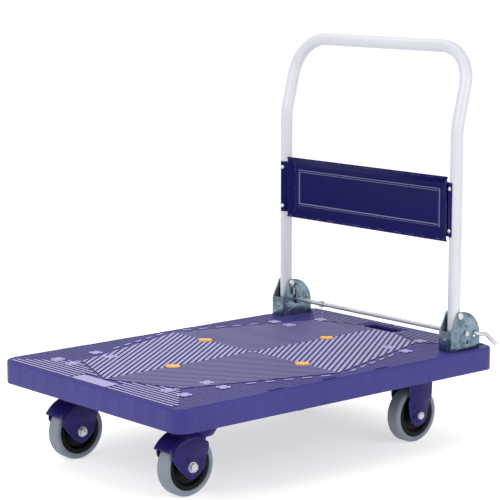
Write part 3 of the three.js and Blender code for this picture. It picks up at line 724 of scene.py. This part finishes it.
def painted_groove_shade():
    """Thin plates of painted shade on the floor between the ribs, in the field and at both ends of the deck."""
    (tip, _), (corner_x, corner_y), (_, middle_y) = FIELD
    end_x, end_y = DECK_LENGTH / 2 / MM - 6, DECK_WIDTH / 2 / MM - 22
    quarter = [(0, 0), (tip - 6, 0), (corner_x - 4, corner_y - 4), (0, middle_y - 5)]
    floors = []
    band = [(end_x, -end_y), (end_x, end_y), (corner_x + 5, corner_y), (tip + 4, 0), (corner_x + 5, -corner_y)]
    for way_x in (-1, 1):
        plates = [(band, by_end(way_x, 0), 1)]
        plates += [(quarter, by_quarter(way_x, way_y), way_y) for way_y in (-1, 1)]
        for points, painted_light, way_y in plates:
            plate = outline_plate("painted_groove_shade", [(way_x * x * MM, way_y * y * MM) for x, y in points], "z",
                                  -0.5 * MM, 0.15 * MM)
            # each plate is marked for painted shade, full or weaker by quarter and by end
            floors.append(marked(plate, lambda x, y: painted_light))
    whole = join("painted_groove_shade", *floors)
    clear = [relief_start("hole_edge", (52 * MM, 116 * MM, 20 * MM), (HOLE_X, 0, 0)),
             relief_start("patch_edge", (60 * MM, 122 * MM, 20 * MM), (-430 * MM, 0, 0))]
    return relief_end(cut_away(whole, *clear))


def straight_rib(x_span, y_span):
    """A low bar on the deck between two x and two y values in millimetres, narrower at its top."""
    (x0, x1), (y0, y1) = x_span, y_span
    rib = relief_start("rib", ((x1 - x0) * MM, (y1 - y0) * MM, 2 * RELIEF),
                       ((x0 + x1) / 2 * MM, (y0 + y1) / 2 * MM, 0))
    select_faces(rib, lambda centre, normal: normal.z > 0.9)
    bpy.ops.transform.resize(value=(1 - 1.4 / (x1 - x0), 1 - 1.4 / (y1 - y0), 1))
    done()
    return rib


def deck_border():
    """Ribs beside each edge, laid along it and mitred at the corners, modelled on one side and mirrored."""
    (tip, _), (corner_x, corner_y), (_, middle_y) = FIELD
    rise = (DECK_WIDTH / 2 / MM - corner_y) / (DECK_LENGTH / 2 / MM - corner_x)
    width, side_width = 0.56 * EDGE_PITCH, 0.8 * EDGE_PITCH
    hole_low, hole_high = tip - 26, tip + 26
    ribs = []
    for k in range(END_RIBS):
        centre = END_RIB_START - EDGE_PITCH * k
        low = max(3.0, (tip + 7 - centre) / (tip - corner_x) * corner_y) if centre < tip + 4 else 3.0
        high = corner_y + (centre - corner_x) * rise - 4 - (0 if k else CORNER_TRIM)
        for way in (-1, 1):
            beside_patch = centre > tip + 4 if way < 0 else hole_low < centre < hole_high
            start = max(low, PATCH_EDGE) if beside_patch else low
            end = min(high, BRACKET_INSIDE) if way > 0 and centre < tip + 16 else high
            span = sorted((way * (centre - width / 2), way * (centre + width / 2)))
            # the end ribs carry painted highlight and shade, full at the front end; the low side ribs carry
            # none
            ribs.append(marked(straight_rib(span, (start, end)), by_end))
    for k in range(SIDE_RIBS):
        centre = SIDE_RIB_START - EDGE_PITCH * k
        out = corner_x + (centre - corner_y) / rise - 6 - (0 if k else CORNER_TRIM)
        inner = corner_x * (middle_y + 6 - centre) / (middle_y - corner_y) if centre < middle_y + 6 else 0.0
        if out - inner < 12:
            continue
        beside_bracket = min(out, BRACKET_FRONT) if centre > BRACKET_INSIDE - 5 else out
        spans = [(-out, -inner - 2), (inner + 2, beside_bracket)]
        if k == 0:
            stops = [-out] + [c + way * SLOT_EDGE for c in SLOT_CENTRES for way in (-1, 1)] + [BRACKET_FRONT]
            spans = list(zip(stops[::2], stops[1::2]))
        for span in spans:
            if span[1] - span[0] > 6:
                low_rib = straight_rib(span, (centre - side_width / 2, centre + side_width / 2))
                low_rib.data.transform(Matrix.Translation((0, 0, SIDE_RIB_RISE * MM - RELIEF)))
                ribs.append(low_rib)
    whole = join("deck_border", *ribs)
    modify(whole, "MIRROR", use_axis=(False, True, False), use_mirror_merge=False)
    return relief_end(whole)


def deck_marks():
    """The bosses over the caster bolts, the dashes along the field, and the plain patch at the front.

    The two arms of a boss differ a little in height, so that their tops don't lie in one plane.
    """
    marks = [soften(relief_start("patch", (36 * MM, 118 * MM, 2 * RELIEF), (-427 * MM, 0, 0)), 0.8 * MM, 1)]
    for x, y in BOSSES:
        for turn, rise in ((45, 2.5), (135, 2.65)):
            bar = relief_start("boss_arm", (30 * MM, 13 * MM, rise * RELIEF))
            bar.data.transform(Matrix.Translation((x, y, 0)) @ Matrix.Rotation(math.radians(turn), 4, "Z"))
            marks.append(soften(bar, 0.8 * MM, 1))
    (x0, y0), (x1, y1) = FIELD[2], FIELD[1]
    slope = math.atan2(y1 - y0, x1 - x0)
    for x, y in DASHES:
        dash = relief_start("dash", (23 * MM, 6 * MM, 2.4 * RELIEF))
        turn = slope if x * y > 0 else -slope
        dash.data.transform(Matrix.Translation((x, y, 0)) @ Matrix.Rotation(turn, 4, "Z"))
        marks.append(soften(dash, 0.8 * MM, 1))
    # every mark carries a painted highlight on its top and painted shade on its sides
    return relief_end(marked(join("deck_marks", *marks)))


def skirt_bands():
    """Faint upright bands on the four sides of the skirt, where the webs meet it."""
    half_x, half_y = DECK_LENGTH / 2, DECK_WIDTH / 2
    foot, top = -SKIRT + 4 * MM, -7 * MM
    size_z, level = top - foot, (top + foot) / 2
    bands = []
    for way in (-1, 1):
        for k in range(-5, 6):
            bands.append(relief_start("band", (0.7 * MM, 24 * MM, size_z), (way * half_x, k * 50 * MM, level)))
        for k in range(-8, 9):
            bands.append(relief_start("band", (24 * MM, 0.7 * MM, size_z), (k * 50 * MM, way * half_y, level)))
    whole = join("skirt_bands", *bands)
    return relief_end(soften(whole, 0.3 * MM, 1))


def deck_webs():
    """The stiffening webs moulded under the deck, in the bays between the beams and the spine."""
    top, foot = -5 * MM, -34 * MM
    height = top - foot
    level = (top + foot) / 2
    webs = []

    def row(size, start, step, count):
        web = relief_start("web", size, (*start, level))
        modify(web, "ARRAY", count=count, use_relative_offset=False, use_constant_offset=True,
               constant_offset_displace=step)
        webs.append(web)

    for side in (-1, 1):
        row((470 * MM, WEB, height), (0, side * 62 * MM), (0, side * 50 * MM, 0), 5)
        row((WEB, 256 * MM, height), (-200 * MM, side * 168 * MM), (50 * MM, 0, 0), 9)
        row((66 * MM, WEB, height), (side * 410 * MM, -250 * MM), (0, 50 * MM, 0), 5)
        row((66 * MM, WEB, height), (side * 410 * MM, 250 * MM), (0, -50 * MM, 0), 4)
    return relief_end(join("deck_webs", *webs))


def deck():
    """The whole moulding, with its hand hole and side slots cut through the tray."""
    hole = relief_start("hole", (36 * MM, 104 * MM, 40 * MM), (HOLE_X, 0, 0))
    select_upright_edges(hole, 10 * MM)
    bpy.ops.mesh.select_mode(type="EDGE")
    bpy.ops.mesh.bevel(offset=12 * MM, segments=5, affect="EDGES")
    done()
    cutters = [relief_end(hole)]
    for centre in SLOT_CENTRES:
        for side in (-1, 1):
            place = (centre * MM, side * SIDE_RIB_START * MM, 0)
            cutters.append(relief_end(relief_start("slot", (43 * MM, 8 * MM, 14 * MM), place)))
    shell = smooth(cut_away(deck_shell(), *cutters), 30)
    relief = [deck_ribs(), painted_groove_shade(), deck_border(), deck_marks(), skirt_bands(), deck_webs()]
    return finish_node(join("deck_moulding", *relief, shell), "deck")


PETALS = 12
# Share of the pad's radius, and height in millimetres.
PAD_PROFILE = [(0, 0), (1, 0), (1, 1.4), (0.94, 2.2), (0.8, 2.5), (0.62, 2.7), (0.45, 2.9), (0.3, 3.1),
               (0.22, 3.6), (0.1, 3.9), (0, 4.0)]


def grip_pads():
    """Domed rosettes with petals."""
    low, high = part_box("deck_pad_1")
    radius = (high.x - low.x) / 2
    foot = low.z - 0.2 * MM
    master = turned("pad", [(share * radius, z * MM) for share, z in PAD_PROFILE], (0, 0, 0), (0, 0, 1), 72)
    for point in master.data.vertices:
        reach = math.hypot(point.co.x, point.co.y) / radius
        petal = math.cos(PETALS * math.atan2(point.co.y, point.co.x))
        if reach > 0.28 and point.co.z > 1 * MM:
            point.co.z += 1.3 * MM * petal * math.sin(math.pi * min(1, (reach - 0.25) / 0.75))
        if reach > 0.9:
            point.co.xy *= 1 + 0.035 * petal
    for number in (1, 2, 3, 4):
        node = f"deck_pad_{number}"
        centre = middle(node)
        finish_node(copied(master, f"{node}_rosette", (centre.x, centre.y, foot)), node)
    bpy.data.objects.remove(master)


# ---------- handle ----------
tube_low, tube_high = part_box("handle_tube")
TUBE_R = 14 * MM
LEG_X = tube_low.x + TUBE_R
LEG_Y = tube_high.y - TUBE_R
KINK_Z = DECK_TOP + 487 * MM                        # where the legs start to lean outwards
KINK_BEND, TOP_BEND = 120 * MM, 86 * MM


def handle_tube():
    top = (tube_high.x - TUBE_R, tube_high.z - TUBE_R)
    corners = [(LEG_X, -LEG_Y, tube_low.z), (LEG_X, -LEG_Y, KINK_Z), (top[0], -LEG_Y, top[1]),
               (top[0], LEG_Y, top[1]), (LEG_X, LEG_Y, KINK_Z), (LEG_X, LEG_Y, tube_low.z)]
    tube = rod("handle_tube_bent", corners, TUBE_R, 32, [KINK_BEND, TOP_BEND, TOP_BEND, KINK_BEND], 16)
    return finish_node(tube, "handle_tube")


def strip(points, thickness):
    """The outline of a bent sheet from its middle line."""
    line = [Vector(p) for p in points]
    left, right = [], []
    for i, point in enumerate(line):
        into = (point - line[i - 1]).normalized() if i else (line[1] - point).normalized()
        out = (line[i + 1] - point).normalized() if i + 1 < len(line) else into
        across = Vector((-into.y - out.y, into.x + out.x)).normalized()
        reach = thickness / 2 / across.dot(Vector((-into.y, into.x)))
        left.append(point + across * reach)
        right.append(point - across * reach)
    return [tuple(p) for p in left + right[::-1]]


PANEL_STEPS = [(2.5, 0), (13, 9), (12, 0), (1.5, -2.2), (2.4, 0), (1.5, 2.2)]   # inset and depth of each press
TAB_ARC = (-50, 58)                                 # start and sweep of a tab round its leg, degrees


def handle_panel():
    """A pan pressed in steps, with rolled hems above and below and a tab round each leg."""
    low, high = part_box("handle_panel")
    face_x, rim_x = LEG_X - 1.5 * MM, LEG_X - 10.5 * MM
    half = LEG_Y - TUBE_R - 3 * MM
    centre_z = (low.z + high.z) / 2
    bpy.ops.mesh.primitive_plane_add(size=1, location=(rim_x, 0, centre_z), rotation=(0, -math.pi / 2, 0))
    pan = named("panel_pan")
    pan.scale = (high.z - low.z, 2 * half, 1)
    settle(pan)
    edit(pan)
    for inset, depth in PANEL_STEPS:
        bpy.ops.mesh.inset(thickness=inset * MM)
        bpy.ops.transform.translate(value=(depth * MM, 0, 0))
    done()
    # the bead slopes are marked for a painted highlight line
    bead = pan.data.attributes.new("relief", "FLOAT", "FACE")
    for face in pan.data.polygons:
        bead.data[face.index].value = 1.0 if abs(face.normal.x) < 0.7 else 0.0
    modify(pan, "SOLIDIFY", thickness=1.8 * MM, offset=0)
    soften(pan, 1.1 * MM, 3, 12)
    pieces = [pan]
    for level in (low.z + 1 * MM, high.z - 1 * MM):
        pieces.append(rod("hem", [(rim_x, -half, level), (rim_x, half, level)], 2.3 * MM, 12))
    for side in (-1, 1):
        line = [(face_x, side * (half - 16 * MM))]
        reach = TUBE_R + 1.3 * MM
        for k in range(15):
            angle = math.radians(TAB_ARC[0] + TAB_ARC[1] * k / 14)
            line.append((LEG_X - reach * math.cos(angle), side * (LEG_Y + reach * math.sin(angle))))
        tab = outline_plate("tab", strip(line, 2 * MM), "z", centre_z - 59.5 * MM, centre_z + 59.5 * MM)
        pieces.append(soften(tab, 0.6 * MM, 2, 40))
    return finish_node(join("handle_panel_pressed", *pieces), "handle_panel")


def dome(name, place, axis, radius, height):
    """A low round head that stands on place along axis."""
    profile = [(0, 0), (radius, 0), (radius, 0.25 * height), (0.86 * radius, 0.62 * height),
               (0.55 * radius, 0.9 * height), (0, height)]
    return turned(name, profile, place, axis, 32)


def panel_rivets():
    for side in ("left", "right"):
        for level in ("low", "high"):
            node = f"panel_rivet_{side}_{level}"
            centre = middle(node)
            leg = Vector((LEG_X, math.copysign(LEG_Y, centre.y), centre.z))
            out = (centre - leg).normalized()
            finish_node(dome(node + "_head", leg + out * 16.4 * MM, out, 4.6 * MM, 2.6 * MM), node)


# ---------- brackets, lock and pedal ----------
rod_low, rod_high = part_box("release_rod")
ROD_X, ROD_Z = middle("release_rod").x, middle("release_rod").z
ROD_R = (rod_high.z - rod_low.z) / 2 * 1.01        # the solid's facets lie just inside the round
PEAK = 79                                           # height of a bracket's rounded top, millimetres
OUTER_RIVETS = [(-17, -46), (27, -44)]              # from that top, along the cart and up, millimetres
INNER_RIVETS = [(-7, -58), (-12, -43), (49, -43)]


def bracket(side_name, side):
    node = f"bracket_{side_name}"
    piece = refined(node, 0.9 * MM, 2, 40)
    low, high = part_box(node)
    inner_y, outer_y = sorted((low.y, high.y), key=abs)
    parts = []
    for y, direction, rivets in ((outer_y, side, OUTER_RIVETS), (inner_y, -side, INNER_RIVETS)):
        for dx, dz in rivets:
            place = (LEG_X + dx * MM, y, DECK_TOP + (PEAK + dz) * MM)
            parts.append(dome("plate_rivet", place, (0, direction, 0), 3.4 * MM, 1.8 * MM))
    bore = ROD_R + 0.4 * MM
    parts.append(turned("rod_collar", [(bore, 0), (8 * MM, 0), (8 * MM, 2 * MM), (7.2 * MM, 2.6 * MM),
                                       (bore, 2.6 * MM)], (ROD_X, outer_y, ROD_Z), (0, side, 0), 40))
    web_rivet = (low.x, side * (LEG_Y - 2 * MM), DECK_TOP + 25 * MM)
    parts.append(dome("web_rivet", web_rivet, (-1, 0, 0), 4.2 * MM, 2.0 * MM))
    return finish_node(join(node + "_pressed", *parts, piece), node)


def hex_bolt(name, place, axis, across, height, washer):
    """A hexagon head with a chamfered top on a washer, standing on place along axis."""
    bpy.ops.mesh.primitive_cylinder_add(vertices=6, radius=across / 2, depth=height)
    head = named(name)
    modify(head, "BEVEL", width=0.09 * across, segments=2, limit_method="ANGLE", angle_limit=math.radians(80))
    head.data.transform(Matrix.Translation((0, 0, height / 2 + washer)))
    ring = turned("washer", [(0, 0), (0.62 * across, 0), (0.62 * across, 0.7 * washer), (0.58 * across, washer),
                             (0, washer)], (0, 0, 0), (0, 0, 1), 40)
    point = dome("point", (0, 0, height + washer - 0.2 * MM), (0, 0, 1), 0.27 * across, 0.16 * across)
    whole = join(name, ring, point, head)
    turn = Vector(axis).to_track_quat("Z", "Y").to_matrix().to_4x4()
    whole.data.transform(Matrix.Translation(Vector(place)) @ turn)
    return smooth(whole, 30)


def small_fittings():
    """Both brackets with their bolts, pivots, levers and springs."""
    for side_name, side in (("left", -1), ("right", 1)):
        bracket(side_name, side)
        for number in (1, 2):
            node = f"bracket_bolt_{side_name}_{number}"
            finish_node(refined(node, 0.8 * MM, 2, 30), node)
        node = f"handle_pivot_{side_name}"
        low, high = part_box(node)
        centre = (low + high) / 2
        heads = [dome("head", (centre.x, y - way * 0.6 * MM, centre.z), (0, way, 0), 6 * MM, 1.8 * MM)
                 for y, way in ((high.y, 1), (low.y, -1))]
        finish_node(join(node + "_pin", *heads, refined(node, 0.5 * MM, 2, 30)), node)
        node = f"lock_lever_{side_name}"
        finish_node(refined(node, 0.8 * MM, 2, 40), node)
        node = f"lock_spring_{side_name}"
        low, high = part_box(node)
        centre = (low + high) / 2
        spring = coil(node + "_coil", centre, (0, 0, 1), 2.6 * MM, 0.55 * MM, 11, high.z - low.z - 2 * MM,
                      ((centre.x, centre.y, low.z - 3 * MM), (centre.x, centre.y, high.z + 2 * MM)))
        finish_node(spring, node)


PEDAL_R = 4.5 * MM
PEDAL_BENDS = [5.5 * MM, 16 * MM]


def release():
    """The cross rod, the bent pedal on its arm, and the torsion spring."""
    y = rod_high.y
    bar = rod("release_rod_bar", [(ROD_X, -y, ROD_Z), (ROD_X, y, ROD_Z)], ROD_R, 24)
    finish_node(soften(bar, 0.8 * MM, 2, 60), "release_rod")
    low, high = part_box("release_pedal")
    pedal_y, inner_y = low.y + PEDAL_R, high.y
    path = [(27.5, -1.5, inner_y), (27.5, -1.5, pedal_y), (58.5, -7.5, pedal_y), (88.5, -33, pedal_y)]
    points = [(ROD_X + dx * MM, along, ROD_Z + dz * MM) for dx, dz, along in path]
    pedal = rod("release_pedal_bar", points, PEDAL_R, 16, PEDAL_BENDS)
    arm = block("arm", (ROD_X + 5.4 * MM, -LEG_Y - 3 * MM, ROD_Z - 6 * MM),
                (ROD_X + 27.5 * MM, -LEG_Y + 3 * MM, ROD_Z + 3 * MM))
    bent = join("release_pedal_bent", soften(arm, 0.8 * MM), soften(pedal, 1 * MM, 2, 60))
    finish_node(bent, "release_pedal")
    low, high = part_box("release_spring")
    centre = Vector((ROD_X, (low.y + high.y) / 2, ROD_Z))
    tails = ((ROD_X - 9 * MM, low.y, ROD_Z + 9 * MM), (ROD_X + 8 * MM, high.y, DECK_TOP + 1.6 * MM))
    spring = coil("release_spring_coil", centre, (0, 1, 0), ROD_R + 1.2 * MM, 0.9 * MM, 6, 12 * MM, tails)
    finish_node(spring, "release_spring")


# ---------- casters ----------
AXLE_Z = middle("front_left_tyre").z
WHEEL_R = AXLE_Z
AXLE = AXLE_Z / MM                                  # the forks' outlines are in millimetres
LEG_HALF = 24.2                                     # outer half width of a fork beside the wheel
LEG_INSIDE = 20.7
WAIST_LOW, WAIST_HIGH = AXLE + 20, AXLE + 42        # where the fork widens above the wheel
BELOW = -15                                         # a level under the whole fork
FORK_PLATE = (58 * MM, 48 * MM, 4 * MM)             # half length, half width and thickness
BOLT_PLACES = [(dx * MM, dy * MM) for dx in (-46, 46) for dy in (-36, 36)]


def tyre(centre):
    """A plain ring with rounded shoulders."""
    half, shoulder, inner = 17 * MM, 8 * MM, 49.3 * MM
    profile = [(inner, -half + 3 * MM), (inner + 1.5 * MM, -half + 0.6 * MM)]
    for k in range(9):
        angle = math.pi / 2 * k / 8
        profile.append((WHEEL_R - shoulder * (1 - math.sin(angle)), -half + shoulder * (1 - math.cos(angle))))
    profile += [(r, -y) for r, y in reversed(profile)]
    return turned("tyre", profile, centre, (0, 1, 0), 96)


def hub(centre):
    """A dished black hub: rim, web with a ring, and a boss round the sleeve."""
    half = 16 * MM
    side = [(7.6, 20), (13, 20), (14.5, 19), (17, 9), (24, 6.5), (33, 6.5), (36, 8), (39, 14), (41, 15.6),
            (48, 16)]
    profile = [(r * MM, -y * MM) for r, y in side] + [(49 * MM, -half + 1 * MM), (49 * MM, half - 1 * MM)]
    profile += [(r * MM, y * MM) for r, y in reversed(side)]
    return turned("hub", profile, centre, (0, 1, 0), 72)


def rounded_polygon(corners):
    """Points, in metres, of a polygon whose corners are (x, y, radius) in millimetres."""
    steps = 6
    corners = [tuple(value * MM for value in corner) for corner in corners]
    points = []
    count = len(corners)
    for i, (x, y, radius) in enumerate(corners):
        here = Vector((x, y))
        before = (Vector(corners[i - 1][:2]) - here).normalized()
        after = (Vector(corners[(i + 1) % count][:2]) - here).normalized()
        if not radius:
            points.append((x, y))
            continue
        half_angle = before.angle(after) / 2
        reach = radius / math.tan(half_angle)
        start, end = here + before * reach, here + after * reach
        centre = here + (before + after).normalized() * (radius / math.sin(half_angle))
        a, b = start - centre, end - centre
        sweep = math.atan2(a.x * b.y - a.y * b.x, a.dot(b))
        for k in range(steps + 1):
            angle = sweep * k / steps
            turned_point = Vector((a.x * math.cos(angle) - a.y * math.sin(angle),
                                   a.x * math.sin(angle) + a.y * math.cos(angle)))
            points.append(tuple(centre + turned_point))
    return points


def fork_shell(name, side_outline, end_outline, inner_outline, inner_end):
    """A pressed fork: a side outline cut to its end outline, then hollowed."""
    solids = []
    for side, end in ((side_outline, end_outline), (inner_outline, inner_end)):
        solid = outline_plate(name, side, "y", -60 * MM, 60 * MM)
        across = outline_plate("end", end, "x", -200 * MM, 200 * MM)
        modify(solid, "BOOLEAN", operation="INTERSECT", solver="EXACT", object=across)
        bpy.data.objects.remove(across)
        solids.append(solid)
    return cut_away(*solids)


def end_profile(half_top, half_foot, top, foot):
    """A fork seen along the cart, wider above its waist."""
    right = [(half_foot, foot), (half_foot, WAIST_LOW), (half_top, WAIST_HIGH), (half_top, top)]
    return [(y * MM, z * MM) for y, z in right] + [(-y * MM, z * MM) for y, z in reversed(right)]


def axle_hole(x):
    bpy.ops.mesh.primitive_cylinder_add(vertices=32, radius=5.4 * MM, depth=120 * MM, location=(x, 0, AXLE_Z),
                                        rotation=(math.pi / 2, 0, 0))
    return settle(named("axle_hole"))


def hood(centre, radius, half, bend, thick, start, sweep):
    """A pressed hood over the wheel: a channel with rounded bends, spun part of a turn about the axle."""
    section = []
    for reach, corner in ((0, bend), (thick, bend - thick)):
        line = [(radius - bend - 0.1 * MM, half - reach)]
        for k in range(7):
            angle = math.pi / 2 * k / 6
            line.append((radius - bend + corner * math.sin(angle), half - bend + corner * math.cos(angle)))
        line += [(r, -y) for r, y in reversed(line)]
        section.append(line)
    profile = section[0] + section[1][::-1]
    bpy.ops.mesh.primitive_circle_add(vertices=len(profile), fill_type="NGON")
    cover = named("hood")
    out = Vector((math.cos(start), 0, math.sin(start)))
    for vertex, (r, y) in zip(cover.data.vertices, profile):
        vertex.co = Vector(centre) + out * r + Vector((0, y, 0))
    edit(cover)
    bpy.ops.mesh.spin(steps=14, angle=-sweep, center=centre, axis=(0, 1, 0))
    bpy.ops.mesh.select_all(action="SELECT")
    bpy.ops.mesh.remove_doubles(threshold=1e-6)
    bpy.ops.mesh.normals_make_consistent(inside=False)
    done()
    return smooth(cover, 35)


HOOD_R, HOOD_HALF, HOOD_BEND, HOOD_SHEET = 73 * MM, 33 * MM, 13 * MM, 3.4 * MM
HOOD_START, HOOD_SWEEP = math.radians(147), math.radians(83)
CUP = [(9, 0), (36.5, 0), (37.5, -1.5), (37.5, -12), (36, -16), (30.5, -25), (29.6, -25), (29.6, -4), (9, -4)]
BOSS_RING = [(5.6, 0), (15, 0), (13.5, 1.0), (5.6, 1.0)]


def swivel_fork():
    """Modelled round its own swivel axis: x from the kingpin, y from its middle, z from the floor."""
    crown_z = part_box("front_left_fork")[1].z
    crown = crown_z / MM
    axle_x = middle("front_left_tyre").x - middle("front_left_kingpin").x
    back, rim_r = axle_x / MM, (HOOD_R - HOOD_BEND) / MM
    rim = [(back + rim_r * math.cos(math.radians(d)), AXLE + rim_r * math.sin(math.radians(d)), 0)
           for d in range(146, 60, -6)]
    side = [(-53, 24, 6), (-31, -4, 16), (-1, -31, 22), (30, -8, 20), (38, 28, 24), (34, 49, 5)]
    outline = rounded_polygon(rim + [(back + x, AXLE + z, radius) for x, z, radius in side[::-1]])
    inner = rounded_polygon([(-140, -5, 0), (60, -5, 0), (60, crown + 10, 0), (-140, crown + 10, 0)])
    fork = fork_shell("swivel_fork", outline, end_profile(33, LEG_HALF, crown + 5, -5),
                      inner, end_profile(29.6, LEG_INSIDE, crown + 15, BELOW))
    soften(cut_away(fork, axle_hole(axle_x)), 0.7 * MM, 2, 50)
    cover = hood((axle_x, 0, AXLE_Z), HOOD_R, HOOD_HALF, HOOD_BEND, HOOD_SHEET, HOOD_START, HOOD_SWEEP)
    cup = turned("swivel_cup", [(r * MM, z * MM) for r, z in CUP], (0, 0, crown_z), (0, 0, 1), 64)
    bpy.ops.mesh.primitive_cylinder_add(vertices=48, radius=WHEEL_R + 5 * MM, depth=40 * MM,
                                        location=(axle_x, 0, AXLE_Z), rotation=(math.pi / 2, 0, 0))
    cut_away(cup, settle(named("wheel_room")))
    washers = [turned("boss_ring", [(r * MM, z * MM) for r, z in BOSS_RING], (axle_x, way * 24 * MM, AXLE_Z),
                      (0, way, 0), 40) for way in (-1, 1)]
    return join("swivel_fork", *washers, cup, cover, fork)


def fixed_fork():
    """Modelled round its own middle: x from the axle, y from its middle, z from the floor."""
    half_length, half_width, thick = FORK_PLATE
    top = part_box("rear_left_fork")[1].z
    plate_foot = (top - thick) / MM
    side = [(-37, plate_foot + 0.5, 0), (-34, AXLE + 30, 10), (-24, AXLE - 12, 14), (0, AXLE - 33, 26),
            (25, AXLE - 12, 14), (34, AXLE + 30, 10), (37, plate_foot + 0.5, 0)]
    inner = [(-80, BELOW, 0), (80, BELOW, 0), (80, plate_foot + 15, 0), (-80, plate_foot + 15, 0)]
    fork = fork_shell("fixed_fork", rounded_polygon(side), end_profile(29.5, LEG_HALF, plate_foot + 5, -5),
                      rounded_polygon(inner), end_profile(26, LEG_INSIDE, plate_foot + 5, BELOW))
    smooth(soften(cut_away(fork, axle_hole(0)), 0.8 * MM, 2, 40), 35)
    panel = rounded_polygon([(-17, plate_foot - 1, 2), (-17, AXLE + 6, 10), (-15, AXLE - 19, 14),
                             (16, AXLE - 21, 15), (22, AXLE + 6, 12), (24, plate_foot - 1, 2)])
    ribs = []
    for way in (-1, 1):
        rib = outline_plate("raised_rib", panel, "y", 0, way * 1.7 * MM)
        for point in rib.data.vertices:
            above_waist = max(0.0, point.co.z / MM - WAIST_LOW)
            half = min(29.5, LEG_HALF + above_waist / 22 * 5.3)
            point.co.y += way * (half - 0.3) * MM
        ribs.append(soften(rib, 1.2 * MM, 2, 40))
    plate = block("fork_plate", (-half_length, -half_width, top - thick), (half_length, half_width, top))
    return join("fixed_fork", *ribs, soften(plate, 1.2 * MM, 2, 40), fork)


def plate_bolts(name, plate_node):
    """The four bolts that hold a caster to its beam, heads down under the plate."""
    low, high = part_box(plate_node)
    centre = (low + high) / 2
    foot = high.z - FORK_PLATE[2]
    heads = [hex_bolt("plate_bolt", (centre.x + dx, centre.y + dy, foot), (0, 0, -1), 13 * MM, 5 * MM, 1.2 * MM)
             for dx, dy in BOLT_PLACES]
    bolts = join(name, *heads)
    bolts.data.materials.clear()
    bolts.data.materials.append(BRIGHT)
    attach(bolts, "cart")


def axle_set(name, axle_x):
    """The axle bolt with its head, the nut, and the sleeve that the wheel turns on."""
    low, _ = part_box(f"{name}_axle_bolt")
    head = hex_bolt("head", (axle_x, low.y + 7.3 * MM, AXLE_Z), (0, -1, 0), 18 * MM, 7 * MM, 1.6 * MM)
    shank = refined(f"{name}_axle_bolt", 0.3 * MM, 1, 60)
    finish_node(join(f"{name}_axle_bolt_set", head, shank), f"{name}_axle_bolt")
    low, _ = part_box(f"{name}_axle_nut")
    nut = hex_bolt(f"{name}_axle_nut_set", (axle_x, low.y, AXLE_Z), (0, 1, 0), 18 * MM, 7 * MM, 1.6 * MM)
    finish_node(nut, f"{name}_axle_nut")
    finish_node(refined(f"{name}_axle_sleeve", 0.3 * MM, 1, 60), f"{name}_axle_sleeve")


def casters():
    """Swivel casters at the front and fixed ones at the handle end."""
    masters = {"front": swivel_fork(), "rear": fixed_fork()}
    on_axle = Vector((0, 0, AXLE_Z))
    wheel_parts = {"tyre": tyre(on_axle), "hub": hub(on_axle)}
    for end, master_fork in masters.items():
        for side in ("left", "right"):
            name = f"{end}_{side}"
            axle = middle(f"{name}_tyre")
            root = middle(f"{name}_kingpin") if end == "front" else axle
            fork = finish_node(copied(master_fork, f"{name}_fork_pressed", (root.x, axle.y, 0)), f"{name}_fork")
            fork.data.materials[0] = FORK_BLUE
            for part, master in wheel_parts.items():
                finish_node(copied(master, f"{name}_{part}_moulded", (axle.x, axle.y, 0)), f"{name}_{part}")
            axle_set(name, axle.x)
            plate_bolts(f"{name}_plate_bolts", f"{name}_caster_plate" if end == "front" else f"{name}_fork")
            if end == "front":
                for part, width in (("caster_plate", 1.2), ("swivel_race", 2.5), ("kingpin", 0.6)):
                    finish_node(refined(f"{name}_{part}", width * MM, 3, 40), f"{name}_{part}")
    for master in (*masters.values(), *wheel_parts.values()):
        bpy.data.objects.remove(master)


def under_structure():
    """The two caster beams and the spine between them."""
    for node in ("caster_beam_front", "caster_beam_rear", "deck_spine"):
        finish_node(refined(node, 1.0 * MM, 3, 40), node)


stage()
deck()
grip_pads()
handle_tube()
handle_panel()
panel_rivets()
small_fittings()
release()
casters()
under_structure()
